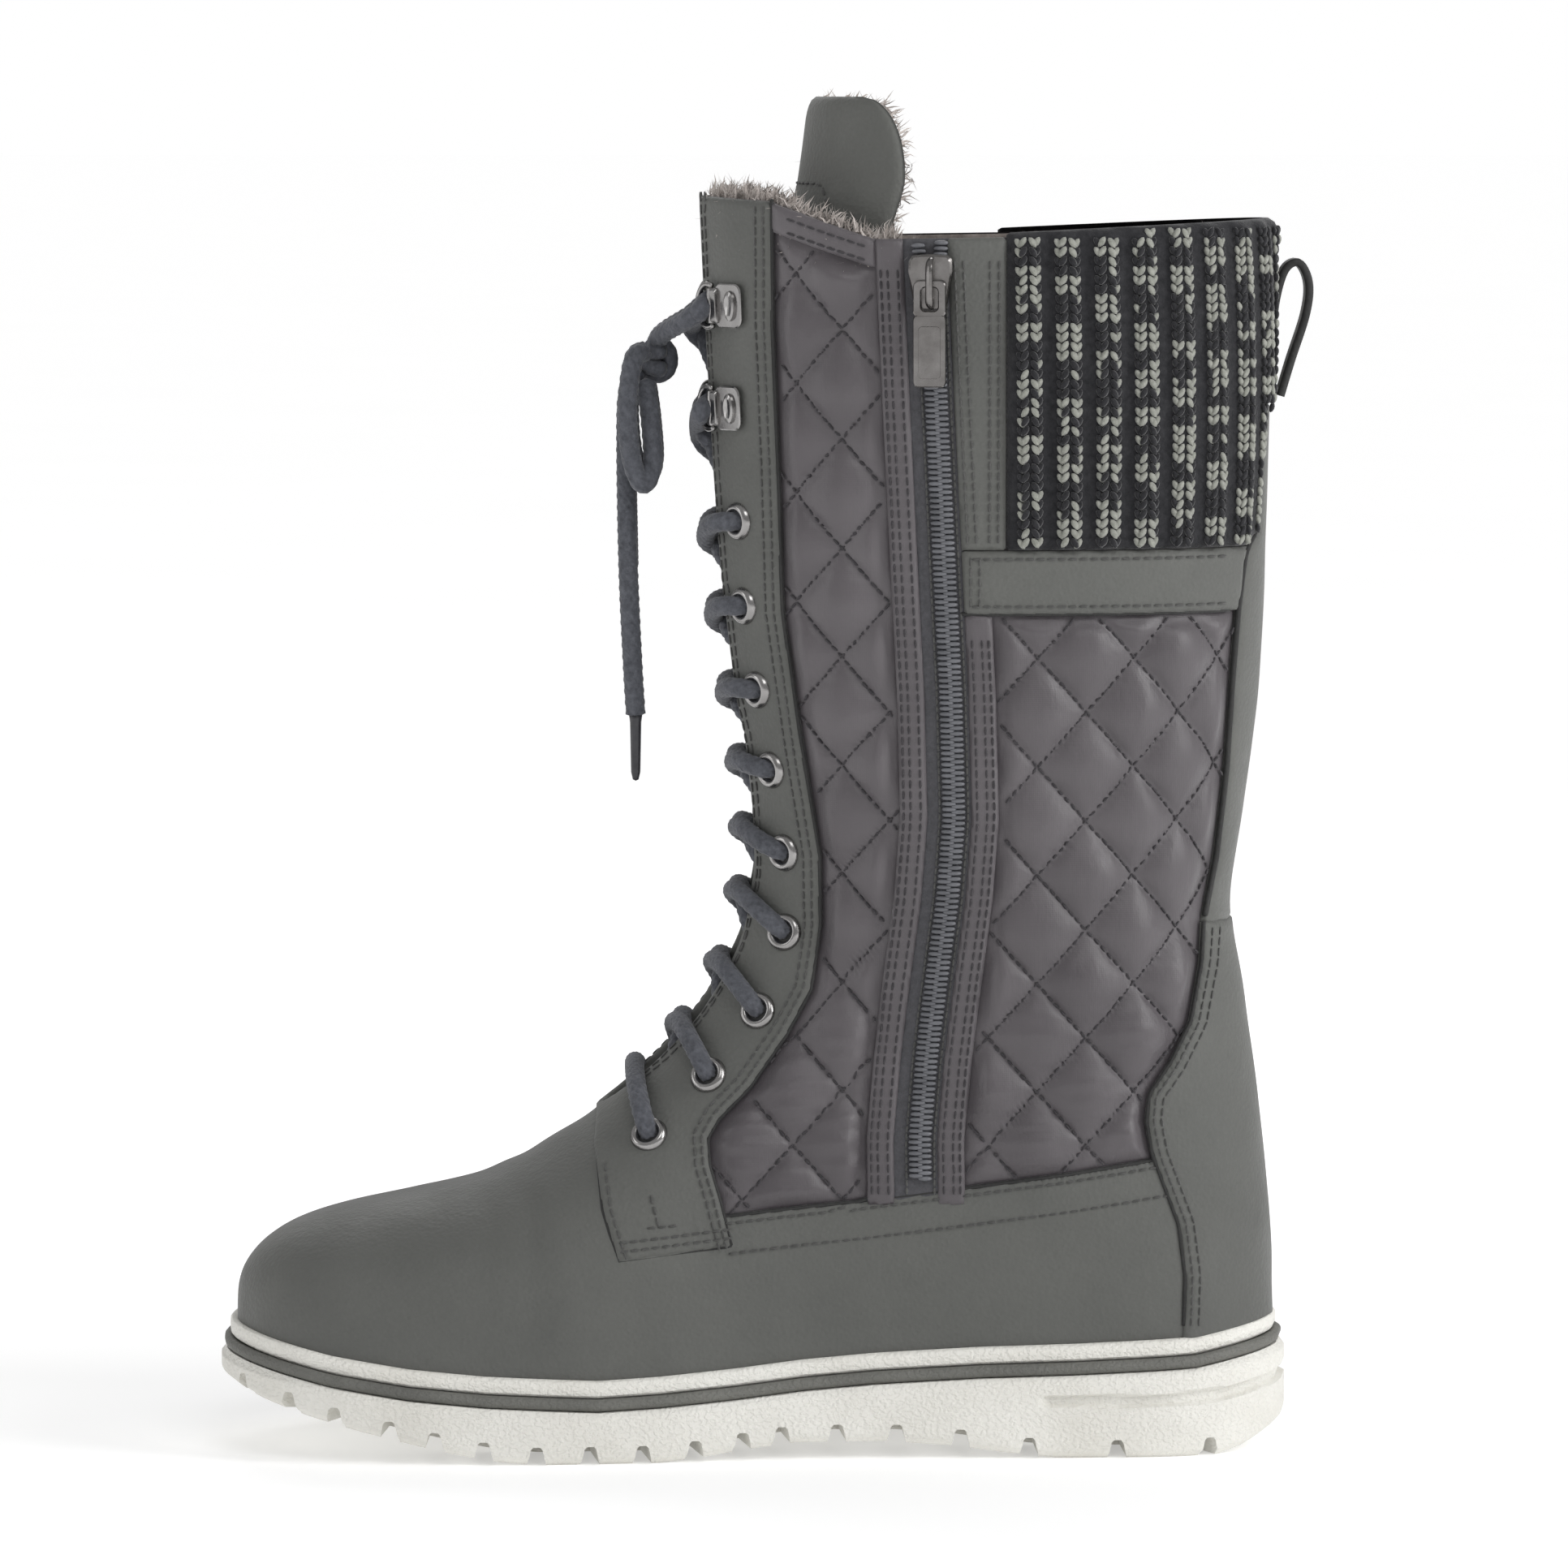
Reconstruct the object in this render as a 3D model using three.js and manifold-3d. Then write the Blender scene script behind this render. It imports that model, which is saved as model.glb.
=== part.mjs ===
// Snow boot for the right foot: a tall lace-up boot with a zip on its inner side.
// Millimetres, +Z up. +X points to the toe, +Y to the boot's inner side, which carries the zip.
// Last coordinates have x = 0 at the back of the sole's heel and x = 280 at its toe.
import * as THREE from 'three';
import { mergeVertices } from 'three/addons/utils/BufferGeometryUtils.js';
import Module from 'manifold-3d';

const wasm = await Module();
wasm.setup();

// Driving dimensions
const ORIGIN_X = 137.8;
const ORIGIN_Y = 1.6;
const GAP = 0.3;
const WALL = 2.5;
const CUP_DEPTH = 9;
const INSOLE_THICK = 4;
const LIP_OUT = 2.8;
const LIP_TALL = 4.4;
const STRIPE_TALL = 3.8;
const STRIPE_OUT = 4.2;
const GROOVE_OUT = 1.2;
const BODY_OUT = 5.2;
const HEEL_GROOVE_TALL = 2.7;
const HEEL_GROOVE_DEEP = 1.6;
const TONGUE_THICK = 4;
const EYESTAY_THICK = 1.4;
const COUNTER_THICK = 1.3;
const STRIP_THICK = 1.3;
const STRAP_THICK = 1.4;
const KNIT_THICK = 4;
const KNIT_ABOVE = 1.2;
const TONGUE_GAP = 1.6;
const LACE_RADIUS = 2.4;
const AGLET_LONG = 17;
const FACING_THICK = 1.2;
const TAPE_THICK = 0.6;
const CHAIN_TOP = 2.5;
const FAR = 90;
// Limits beyond the boot for cutting planes: behind it, below and above it, and past the sole's ends
const BEHIND = -20;
const BELOW = -60;
const ABOVE = 420;
const SOLE_BACK = -14;
const SOLE_FRONT = 294;
// Facets of the last's outer and inner faces, along it and round it
const OUTER_FACETS = [30, 28];
const INNER_FACETS = [22, 20];

// Sections of the last, from the toe's tip to above the collar. Each lies in a plane through a top point
// (dorsal, then front of the shaft) and a low point (sole, then back of the heel and shaft), with its reach
// to the inner and outer side, the y of its crest, and the powers of its two half superellipses.
const SECTION_COLUMNS = ['topX', 'topZ', 'lowX', 'lowZ', 'inner', 'outer', 'crest', 'topPower', 'lowPower'];
const SECTION_ROWS = [
  [275.5, 36, 275.5, 18, 5, -5, 5, 3.4, 4.5],
  [274.7, 43, 274.7, 18, 15.9, 5.9, 5, 3.4, 4.5],
  [272.5, 48, 272.5, 15, 23.7, 13.7, 5, 3.2, 4.5],
  [267.5, 53, 267.5, 9, 32.3, 22.7, 4.8, 3.0, 4.5],
  [259.5, 57.5, 259.5, 4, 39.2, 31.2, 4, 2.8, 4.5],
  [247.5, 61.3, 247.5, 4, 43.9, 38.9, 2.5, 2.6, 4.5],
  [230, 65, 230, 4, 45.8, 44.8, 1, 2.4, 4.5],
  [210, 70, 210, 4, 46, 48.2, 0, 2.3, 4.5],
  [190, 81, 190, 4, 45.5, 49.5, 0, 2.1, 4.5],
  [174, 93, 163, 4, 42.5, 48.5, 0, 2.0, 4.5],
  [160, 107.5, 133, 4, 38, 45, 0, 2.0, 4.5],
  [151, 121, 103, 4, 35.5, 41.5, 0, 2.0, 4.5],
  [145.5, 134, 68, 4, 35, 38.5, 0, 2.0, 4.2],
  [143, 147, 32, 4, 35, 36.5, 0, 2.1, 3.4],
  [142.2, 157, 9, 6, 35.5, 36.5, 0, 2.1, 2.7],
  [142.2, 167, 6.6, 46, 36.5, 37.5, 0, 2.2, 2.4],
  [142.8, 177, 9.6, 84, 38, 38.5, 0, 2.2, 2.3],
  [144, 187.5, 13.8, 116, 39, 39.5, 0, 2.2, 2.2],
  [145.8, 199, 17.4, 142, 40, 40, 0, 2.3, 2.2],
  [147.7, 213, 14, 168, 41, 41, 0, 2.3, 2.2],
  [149.7, 231, 10, 202, 42.5, 42.5, 0, 2.3, 2.2],
  [151.7, 258, 8.3, 246, 44.5, 44.5, 0, 2.3, 2.2],
  [154, 300, 7.2, 296, 46.5, 46.5, 0, 2.3, 2.2],
  [155.5, 332, 7, 331, 47, 47, 0, 2.3, 2.2],
  [156.5, 362, 7, 362, 47.5, 47.5, 0, 2.3, 2.2],
];
const SECTION_END = SECTION_ROWS.length - 1;

// Heights along the sole: top of the lip, and the tread's lowest face with arch and toe spring
const LIP_ROWS = [
  [0, 35.5], [6, 34.5], [26, 31], [56, 29.7], [82, 29], [110, 27.5], [128, 26], [145, 24], [165, 22.3],
  [181, 21.5], [210, 22.9], [230, 24.8], [250, 28], [266, 31.5], [280, 34.5],
];
const TREAD_ROWS = [
  [0, 13.5], [4, 9], [10, 4.6], [16, 1.6], [22, 0], [62, 0], [74, 1.3], [90, 3.4], [106, 4.5], [130, 4.5],
  [144, 2.8], [156, 1], [166, 0], [197, 0], [207, 0.8], [218, 2.8], [230, 5.6], [242, 8.6], [254, 12],
  [266, 15.8], [275, 19.2], [280, 22.5],
];
// Side notches of the tread, as x along the sole
const NOTCH_X = [
  23.8, 46.7, 69, 87, 104, 119.5, 133.7, 144.5, 156.6, 170, 183.3, 197, 210.3, 222.7, 234.7, 247.5, 259, 269,
];
const NOTCH_TOP = 2.7;
const NOTCH_FOOT = 6.4;
const NOTCH_TALL = 4.6;
const NOTCH_REACH = 24;
const HEEL_GROOVE_ROWS = [[-6, 24.5], [0, 22.5], [8, 19], [20, 16.2], [36, 15], [70, 15]];
const HEEL_GROOVE_FRONT = 66;

// Collar's top edge, as x and z
const COLLAR_END = 210;
const COLLAR_ROWS = [
  [BEHIND, 320], [2, 320], [75, 316.5], [110, 316],
  [122, 320], [137, 325.5], [158, 327], [COLLAR_END, 327],
];
// Half width of the throat's opening by height
const THROAT_ROWS = [
  [88, 0], [88.8, 4], [91, 6.5], [96, 8.5],
  [110, 9.5], [150, 10.5], [220, 11.5], [340, 13],
];

// Tongue: first and last section, half angle there, and how far it leans back by height
const TONGUE_FROM = 8.4;
const TONGUE_TO = 23.72;
const TONGUE_HALF_LOW = 0.5;
const TONGUE_HALF_TOP = 1;
const TONGUE_LEAN_ROWS = [[80, 0], [180, 0], [240, 3], [290, 10], [330, 22], [360, 27]];

// Eyestay and counter seen from the side, as x and z
const EYESTAY_OUTLINE = [
  [135.8, 330], [172, 330], [172, 130], [186, 104], [186, 90], [181.5, 86.5], [182, 80], [179.8, 65],
  [175.8, 52.2], [146.6, 55.6], [149.8, 68], [152.3, 76], [152.7, 82.8], [149.8, 87.6], [141.7, 95.7],
  [132, 109.5], [125.8, 121], [123.2, 138], [123.4, 156], [128.4, 187.7], [133, 219.6],
  [134.1, 255.7], [135.6, 294],
];
const COUNTER_OUTLINE = [
  [BEHIND, 20], [30, 20], [29, 47], [30.7, 60.3], [37.5, 78.8], [39.2, 87.8], [38.4, 94.8], [33.1, 102.6],
  [27.8, 113], [25, 128], [24.4, 138], [BEHIND, 138],
];
// Back strip's front edge: x by height
const STRIP_LOW = 138.3;
const STRIP_TOP = 273;
const STRIP_EDGE_ROWS = [
  [STRIP_LOW, 24.2], [155, 20.8], [177.6, 18.3], [200, 17], [220, 15.5], [235, 13.6],
  [240, 10.5], [STRIP_TOP, 9.5],
];
const CUFF_LOW = 236.3;
const CUFF_FRONT = 76;
const STRAP_LOW = 219.8;
const STRAP_FRONT = 87;

// Zip's line on the inner side: x by height, and its bands
const ZIP_ROWS = [
  [70, 97.5], [83, 97.7], [104, 95.8], [125, 93.2], [146, 90.5], [167, 89], [199, 89.9], [231, 91.6],
  [273, 93.7],
  [318, 95.8],
];
const ZIP_LOW = 70;
const ZIP_TOP = 324;
const ZIP_TAPE_BACK = 4.2;
const ZIP_TAPE_FRONT = 6.5;
const ZIP_FACING = 7;
const ZIP_CHAIN_HALF = 2.7;
const SLIDER_Z = 305;
const SLIDER_FOOT = 3.2;
const SLIDER_TOP = 6;
const ARCH_TOP = 10.7;
const ARCH_WIDE = 3.2;
const HINGE_OUT = 7.6;
const PULL_LONG = 27;

// Eyelets from the throat's base up, then the plates of the rings, as x and z
const EYELETS = [
  [167.5, 82.8], [152, 98], [139, 114.8], [132, 135.5], [131.8, 156.7], [135, 178.3], [138.6, 199.2],
  [142, 220.9],
  [143.4, 242.9],
];
const RING_PLATE_X = 145.5;
const RING_Z = [272.2, 298.7];
const PLATE_OUT = 2.9;
const LACE_OUT = 7.6;
const LACE_MIDDLE = 5.6;
const LACE_TOP_ANGLE = 0.18;

// Bow: knot in front of the rings, two loops and two hanging ends with aglets
const KNOT_AT = [165.7, 0, 284];
const KNOT_SIZE = [4.2, 6.5, 5.5];
const LOOP_POINTS = [
  [169.6, 7.4, 286], [172.1, 11.5, 284], [173.6, 13.5, 272], [172.6, 14.5, 259], [169.6, 14, 252],
  [167.1, 12.5, 257],
  [167.6, 10, 268], [168.9, 7.6, 278.2],
];
const END_POINTS = [
  [171.3, 3.2, 281], [173.7, 3.6, 275], [174.1, 4, 260], [173.6, 4.6, 230], [172.5, 5, 205],
  [171.7, 5, 191.5],
];
const SHORT_END = 4;

// Pull loop's strap in side view
const LOOP_WIDE = 12;
const LOOP_THICK = 2.2;
const LOOP_ROOM_TOP = 313;
const LOOP_LINE = [
  [3.4, 274.6], [0.6, 284], [-3.2, 296], [-3.9, 304], [-1.4, 309.2], [2.2, 307.6], [4.6, 300],
  [5.6, 290], [5.9, 277],
];

// Plain number helpers
function cubic(a, b, c, d, t) {
  const slopeIn = (c - a) / 2;
  const slopeOut = (d - b) / 2;
  const t2 = t * t;
  const t3 = t2 * t;
  const places = (2 * t3 - 3 * t2 + 1) * b + (3 * t2 - 2 * t3) * c;
  return places + (t3 - 2 * t2 + t) * slopeIn + (t3 - t2) * slopeOut;
}

function linear(rows, x) {
  const last = rows.length - 1;
  if (x <= rows[0][0]) return rows[0][1];
  if (x >= rows[last][0]) return rows[last][1];
  const next = rows.findIndex((row) => row[0] > x);
  const [x0, y0] = rows[next - 1];
  const [x1, y1] = rows[next];
  return y0 + ((y1 - y0) * (x - x0)) / (x1 - x0);
}

function range(from, to, steps) {
  return Array.from({ length: steps + 1 }, (_, k) => from + ((to - from) * k) / steps);
}

function bisect(test, from, to) {
  let low = from;
  let high = to;
  for (let k = 0; k < 40; k += 1) {
    const middle = (low + high) / 2;
    if (test(middle) > 0) low = middle;
    else high = middle;
  }
  return (low + high) / 2;
}

const lipHeight = (x) => linear(LIP_ROWS, x);
const treadHeight = (x) => linear(TREAD_ROWS, x);
const cupFloor = (x) => lipHeight(x) - CUP_DEPTH;

// The last's surface: u counts sections from the toe, v goes round from the crest over the inner side
function section(u) {
  const row = Math.min(Math.floor(u), SECTION_END - 1);
  const at = (k) => SECTION_ROWS[Math.min(Math.max(k, 0), SECTION_END)];
  const values = SECTION_COLUMNS.map((_, c) => {
    return cubic(at(row - 1)[c], at(row)[c], at(row + 1)[c], at(row + 2)[c], u - row);
  });
  return Object.fromEntries(SECTION_COLUMNS.map((name, c) => [name, values[c]]));
}

function lastPoint(u, v) {
  const s = section(u);
  const c = Math.cos(v);
  const power = c >= 0 ? s.topPower : s.lowPower;
  const along = Math.sign(c) * Math.abs(c) ** (2 / power);
  const out = Math.abs(Math.sin(v)) ** (2 / power);
  const y = Math.sin(v) >= 0 ? s.crest + (s.inner - s.crest) * out : s.crest - (s.outer + s.crest) * out;
  const x = (s.topX + s.lowX) / 2 + (along * (s.topX - s.lowX)) / 2;
  const z = (s.topZ + s.lowZ) / 2 + (along * (s.topZ - s.lowZ)) / 2;
  return new THREE.Vector3(x, y, z);
}

function lastNormal(u, v) {
  const stepU = 0.06;
  const stepV = 0.03;
  const ahead = lastPoint(Math.min(u + stepU, SECTION_END), v);
  const alongU = ahead.sub(lastPoint(Math.max(u - stepU, 0), v));
  const alongV = lastPoint(u, v + stepV).sub(lastPoint(u, v - stepV));
  const normal = alongV.cross(alongU);
  if (u === 0) normal.set(1, 0, 0);
  return normal.normalize();
}

function skin(u, v, offset) {
  return lastPoint(u, v).addScaledVector(lastNormal(u, v), offset);
}

// Solids
function solid(points, faces) {
  const bare = new THREE.BufferGeometry().setFromPoints(points);
  bare.setIndex(faces);
  return solidOf(bare);
}

function solidOf(geometry) {
  const bare = new THREE.BufferGeometry();
  bare.setAttribute('position', geometry.getAttribute('position').clone());
  if (geometry.index) bare.setIndex(geometry.index.clone());
  const merged = mergeVertices(bare, 1e-4);
  const corner = merged.index.array;
  const position = merged.getAttribute('position');
  const a = new THREE.Vector3();
  const b = new THREE.Vector3();
  const c = new THREE.Vector3();
  const kept = [];
  let volume = 0;
  for (let k = 0; k < corner.length; k += 3) {
    const [i, j, l] = [corner[k], corner[k + 1], corner[k + 2]];
    if (i === j || j === l || l === i) continue;
    kept.push(i, j, l);
    a.fromBufferAttribute(position, i);
    b.fromBufferAttribute(position, j);
    c.fromBufferAttribute(position, l);
    volume += a.dot(b.cross(c));
  }
  const triVerts = new Uint32Array(volume < 0 ? kept.reverse() : kept);
  const vertProperties = new Float32Array(position.array);
  return new wasm.Manifold(new wasm.Mesh({ numProp: 3, vertProperties, triVerts }));
}

// Walls between closed rings of equal length, with a fan to the middle of each end ring that has an area
function ringSolid(rings, startCap = true) {
  const count = rings[0].length;
  const points = rings.flat();
  const faces = [];
  for (let r = 0; r + 1 < rings.length; r += 1) {
    for (let k = 0; k < count; k += 1) {
      const a = r * count + k;
      const b = r * count + ((k + 1) % count);
      faces.push(a, b, b + count, a, b + count, a + count);
    }
  }
  const cap = (ring, first) => {
    const middle = points.length;
    const centre = rings[ring].reduce((sum, p) => sum.add(p), new THREE.Vector3()).divideScalar(count);
    points.push(centre);
    for (let k = 0; k < count; k += 1) {
      const a = ring * count + k;
      const b = ring * count + ((k + 1) % count);
      faces.push(middle, first ? b : a, first ? a : b);
    }
  };
  if (startCap) cap(0, true);
  cap(rings.length - 1, false);
  return solid(points, faces);
}

// The whole last grown by an offset, closed above the collar
function lastSolid(offset, [ringCount, around]) {
  const rings = range(0, SECTION_END, ringCount).map((u) => {
    return range(0, 2 * Math.PI, around).slice(0, around).map((v) => skin(u, v, offset));
  });
  rings[0] = rings[0].map((p, k) => (k > around / 2 ? rings[0][around - k].clone() : p));
  return ringSolid(rings, false);
}

// The last's outer face at an offset, and the shell between two such faces
const forms = new Map();

function form(offset) {
  if (!forms.has(offset)) forms.set(offset, lastSolid(offset, OUTER_FACETS));
  return forms.get(offset);
}

function shell(low, high) {
  return form(high).subtract(form(low));
}

// Rings that fold back on themselves are closed at both ends by quads across the slab's thickness
function slabSolid(rings, width) {
  const count = 2 * width;
  const points = rings.flat();
  const faces = [];
  for (let r = 0; r + 1 < rings.length; r += 1) {
    for (let k = 0; k < count; k += 1) {
      const a = r * count + k;
      const b = r * count + ((k + 1) % count);
      faces.push(a, b, b + count, a, b + count, a + count);
    }
  }
  for (const r of [0, rings.length - 1]) {
    for (let k = 0; k + 1 < width; k += 1) {
      const a = r * count + k;
      const b = a + 1;
      const c = r * count + count - 2 - k;
      const d = c + 1;
      if (r === 0) faces.push(a, c, b, a, d, c);
      else faces.push(a, b, c, a, c, d);
    }
  }
  return solid(points, faces);
}

// A side-view outline of [x, z] points pushed through the boot from yFrom to yTo
function sidePrism(outline, yFrom = -FAR, yTo = FAR) {
  const shape = new THREE.Shape(outline.map(([x, z]) => new THREE.Vector2(x, z)));
  const geometry = new THREE.ExtrudeGeometry(shape, { depth: yTo - yFrom, bevelEnabled: false });
  geometry.rotateX(Math.PI / 2);
  geometry.translate(0, yTo, 0);
  return solidOf(geometry);
}

// A front-view outline of [y, z] points pushed from xFrom to xTo
function frontPrism(outline, xFrom, xTo) {
  const shape = new THREE.Shape(outline.map(([y, z]) => new THREE.Vector2(y, z)));
  const geometry = new THREE.ExtrudeGeometry(shape, { depth: xTo - xFrom, bevelEnabled: false });
  geometry.applyMatrix4(new THREE.Matrix4().set(0, 0, 1, xFrom, 1, 0, 0, 0, 0, 1, 0, 0, 0, 0, 0, 1));
  return solidOf(geometry);
}

function material(color, roughness, metalness = 0) {
  return new THREE.MeshStandardMaterial({ color, roughness, metalness });
}

const leather = material(0x5f605c, 0.62);
const quilt = material(0x645f62, 0.45);
const soleRubber = material(0xe1e0da, 0.7);
const stripeRubber = material(0x6e6e69, 0.65);
const lining = material(0x968c87, 0.95);
const knit = material(0x3c3d40, 0.95);
const gunmetal = material(0x55575a, 0.35, 0.9);
const lace = material(0x55565c, 0.85);

const boot = new THREE.Group();
boot.position.set(-ORIGIN_X, -ORIGIN_Y, 0);

function add(name, body, finish) {
  const mesh = body.getMesh();
  const geometry = new THREE.BufferGeometry();
  geometry.setAttribute('position', new THREE.BufferAttribute(new Float32Array(mesh.vertProperties), 3));
  geometry.setIndex(new THREE.BufferAttribute(new Uint32Array(mesh.triVerts), 1));
  geometry.computeVertexNormals();
  const piece = new THREE.Mesh(geometry, finish);
  piece.name = name;
  boot.add(piece);
}

// Prisms that trim pieces: below a height that follows the sole, above the collar, and the throat's slot
const SOLE_XS = [SOLE_BACK, ...LIP_ROWS.map(([x]) => x), SOLE_FRONT];

function belowPrism(height, extra) {
  const line = [...SOLE_XS].reverse().map((x) => [x, height(x) + extra]);
  return sidePrism([[SOLE_BACK, BELOW], [SOLE_FRONT, BELOW], ...line]);
}

function collarPrism(extra) {
  const line = COLLAR_ROWS.map(([x, z]) => [x, z + extra]);
  return sidePrism([...line, [COLLAR_END, ABOVE], [BEHIND, ABOVE]]);
}

function throatPrism(extra) {
  const side = THROAT_ROWS.map(([z, half]) => [half + extra, z - extra]);
  const outline = [...side, ...side.slice(1).reverse().map(([y, z]) => [-y, z])];
  return frontPrism(outline, 95, 215);
}

// Sole outline: where the upper's wall meets the top of the lip, sampled evenly along each side
const OUTLINE_STEPS = 27;

function featherPoint(u, side) {
  const height = (v) => {
    const p = lastPoint(u, side * v);
    return p.z - lipHeight(p.x);
  };
  return lastPoint(u, side * bisect(height, 0, Math.PI));
}

function featherSide(side) {
  const back = bisect((u) => lipHeight(section(u).lowX) - section(u).lowZ, SECTION_END / 2, SECTION_END);
  const points = range(0, back, 90).map((u) => featherPoint(u, side).setZ(0));
  return new THREE.CatmullRomCurve3(points).getSpacedPoints(OUTLINE_STEPS);
}

const outline = [...featherSide(1), ...featherSide(-1).slice(1, -1).reverse()];
const outlineOut = outline.map((_, k) => {
  const before = outline[(k + outline.length - 1) % outline.length];
  const after = outline[(k + 1) % outline.length];
  const tangent = after.clone().sub(before).normalize();
  return new THREE.Vector3(-tangent.y, tangent.x, 0).negate();
});

const wholeOutline = [...outline.keys()];

function outlineRing(out, height, indexes = wholeOutline) {
  return indexes.map((k) => {
    const p = outline[k].clone().addScaledVector(outlineOut[k], out);
    return p.setZ(height(p.x));
  });
}

// A body between stacked rings of the sole's outline, closed above and below by quads from side to side
function outlineSolid(rings) {
  const count = outline.length;
  const points = rings.flat();
  const faces = [];
  for (let r = 0; r + 1 < rings.length; r += 1) {
    for (let k = 0; k < count; k += 1) {
      const a = r * count + k;
      const b = r * count + ((k + 1) % count);
      faces.push(a, b, b + count, a, b + count, a + count);
    }
  }
  for (const r of [0, rings.length - 1]) {
    for (let k = 0; k < OUTLINE_STEPS; k += 1) {
      const a = r * count + k;
      const b = r * count + k + 1;
      const c = r * count + ((count - k - 1) % count);
      const d = r * count + ((count - k) % count);
      if (r === 0) faces.push(a, c, b, a, d, c);
      else faces.push(a, b, c, a, c, d);
    }
  }
  return solid(points, faces);
}

// A band along part or all of the sole's outline, from a closed profile of [out, height function] pairs
function outlineBand(profile, indexes, closed) {
  const lines = profile.map(([out, height]) => outlineRing(out, height, indexes));
  const rings = lines[0].map((_, k) => lines.map((line) => line[k]));
  return closed ? ringSolidClosed(rings) : ringSolid(rings);
}

function ringSolidClosed(rings) {
  const count = rings[0].length;
  const total = rings.length * count;
  const faces = [];
  for (let r = 0; r < rings.length; r += 1) {
    for (let k = 0; k < count; k += 1) {
      const a = r * count + k;
      const b = r * count + ((k + 1) % count);
      const c = (a + count) % total;
      const d = (b + count) % total;
      faces.push(a, b, d, a, d, c);
    }
  }
  return solid(rings.flat(), faces);
}

// The outline's point and outward direction on one side where it passes x
function outlineAt(x, side) {
  const half = wholeOutline.filter((k) => (side > 0 ? k <= OUTLINE_STEPS : k >= OUTLINE_STEPS));
  const first = half.find((k) => {
    const ends = [outline[k].x, outline[(k + 1) % outline.length].x];
    return Math.min(...ends) <= x && Math.max(...ends) >= x;
  });
  const next = (first + 1) % outline.length;
  const t = (x - outline[first].x) / (outline[next].x - outline[first].x);
  return {
    at: outline[first].clone().lerp(outline[next], t),
    out: outlineOut[first].clone().lerp(outlineOut[next], t).normalize(),
  };
}

function notch(x, side) {
  const { at, out } = outlineAt(x, side);
  const along = new THREE.Vector3(-out.y, out.x, 0);
  const floor = treadHeight(x) - 3;
  const top = treadHeight(x) + NOTCH_TALL;
  const wide = NOTCH_FOOT / 2;
  const narrow = NOTCH_TOP / 2;
  const profile = [[-wide, floor], [wide, floor], [narrow, top], [-narrow, top]];
  const ring = (away) => profile.map(([t, z]) => {
    return at.clone().addScaledVector(out, away).addScaledVector(along, t).setZ(z);
  });
  return ringSolid([ring(BODY_OUT + 8), ring(BODY_OUT - NOTCH_REACH)]);
}

function makeOutsole() {
  const lip = (down) => (x) => lipHeight(x) - down;
  const tread = (up) => (x) => treadHeight(x) + up;
  const grooveEnd = LIP_TALL + STRIPE_TALL;
  const body = outlineSolid([
    outlineRing(LIP_OUT - 1, lip(0)),
    outlineRing(LIP_OUT, lip(1)),
    outlineRing(LIP_OUT, lip(LIP_TALL)),
    outlineRing(GROOVE_OUT, lip(LIP_TALL)),
    outlineRing(GROOVE_OUT, lip(grooveEnd)),
    outlineRing(BODY_OUT - 0.6, lip(grooveEnd)),
    outlineRing(BODY_OUT, lip(grooveEnd + 1.2)),
    outlineRing(BODY_OUT - 0.6, tread(2)),
    outlineRing(BODY_OUT - 2, tread(0)),
  ]);
  const cup = form(GAP).subtract(belowPrism(cupFloor, 0));
  const grooveMiddle = (x) => linear(HEEL_GROOVE_ROWS, x);
  const heel = wholeOutline.filter((k) => outline[k].x < HEEL_GROOVE_FRONT);
  const heelGroove = outlineBand([
    [BODY_OUT - HEEL_GROOVE_DEEP, (x) => grooveMiddle(x) - HEEL_GROOVE_TALL / 2],
    [BODY_OUT - HEEL_GROOVE_DEEP, (x) => grooveMiddle(x) + HEEL_GROOVE_TALL / 2],
    [BODY_OUT + 4, (x) => grooveMiddle(x) + HEEL_GROOVE_TALL / 2],
    [BODY_OUT + 4, (x) => grooveMiddle(x) - HEEL_GROOVE_TALL / 2],
  ], heel, false);
  const cuts = [1, -1].flatMap((side) => NOTCH_X.map((x) => notch(x, side)));
  return cuts.reduce((left, cut) => left.subtract(cut), body.subtract(cup).subtract(heelGroove));
}

function makeStripe() {
  const down = (amount) => (x) => lipHeight(x) - LIP_TALL - amount;
  return outlineBand([
    [GROOVE_OUT + GAP, down(GAP)],
    [GROOVE_OUT + GAP, down(STRIPE_TALL - GAP)],
    [STRIPE_OUT - 0.7, down(STRIPE_TALL - GAP)],
    [STRIPE_OUT, down(STRIPE_TALL / 2)],
    [STRIPE_OUT - 0.7, down(GAP)],
  ], wholeOutline, true);
}

function makeInsole() {
  const body = lastSolid(-WALL - GAP, INNER_FACETS);
  const line = SOLE_XS.map((x) => [x, cupFloor(x) + GAP + INSOLE_THICK]);
  const above = sidePrism([...line, [SOLE_FRONT, ABOVE], [SOLE_BACK, ABOVE]]);
  return body.subtract(belowPrism(cupFloor, GAP)).subtract(above);
}

function makeUpper() {
  const wall = form(0).subtract(lastSolid(-WALL, INNER_FACETS));
  return wall.subtract(belowPrism(cupFloor, GAP)).subtract(collarPrism(0)).subtract(throatPrism(0));
}

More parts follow.
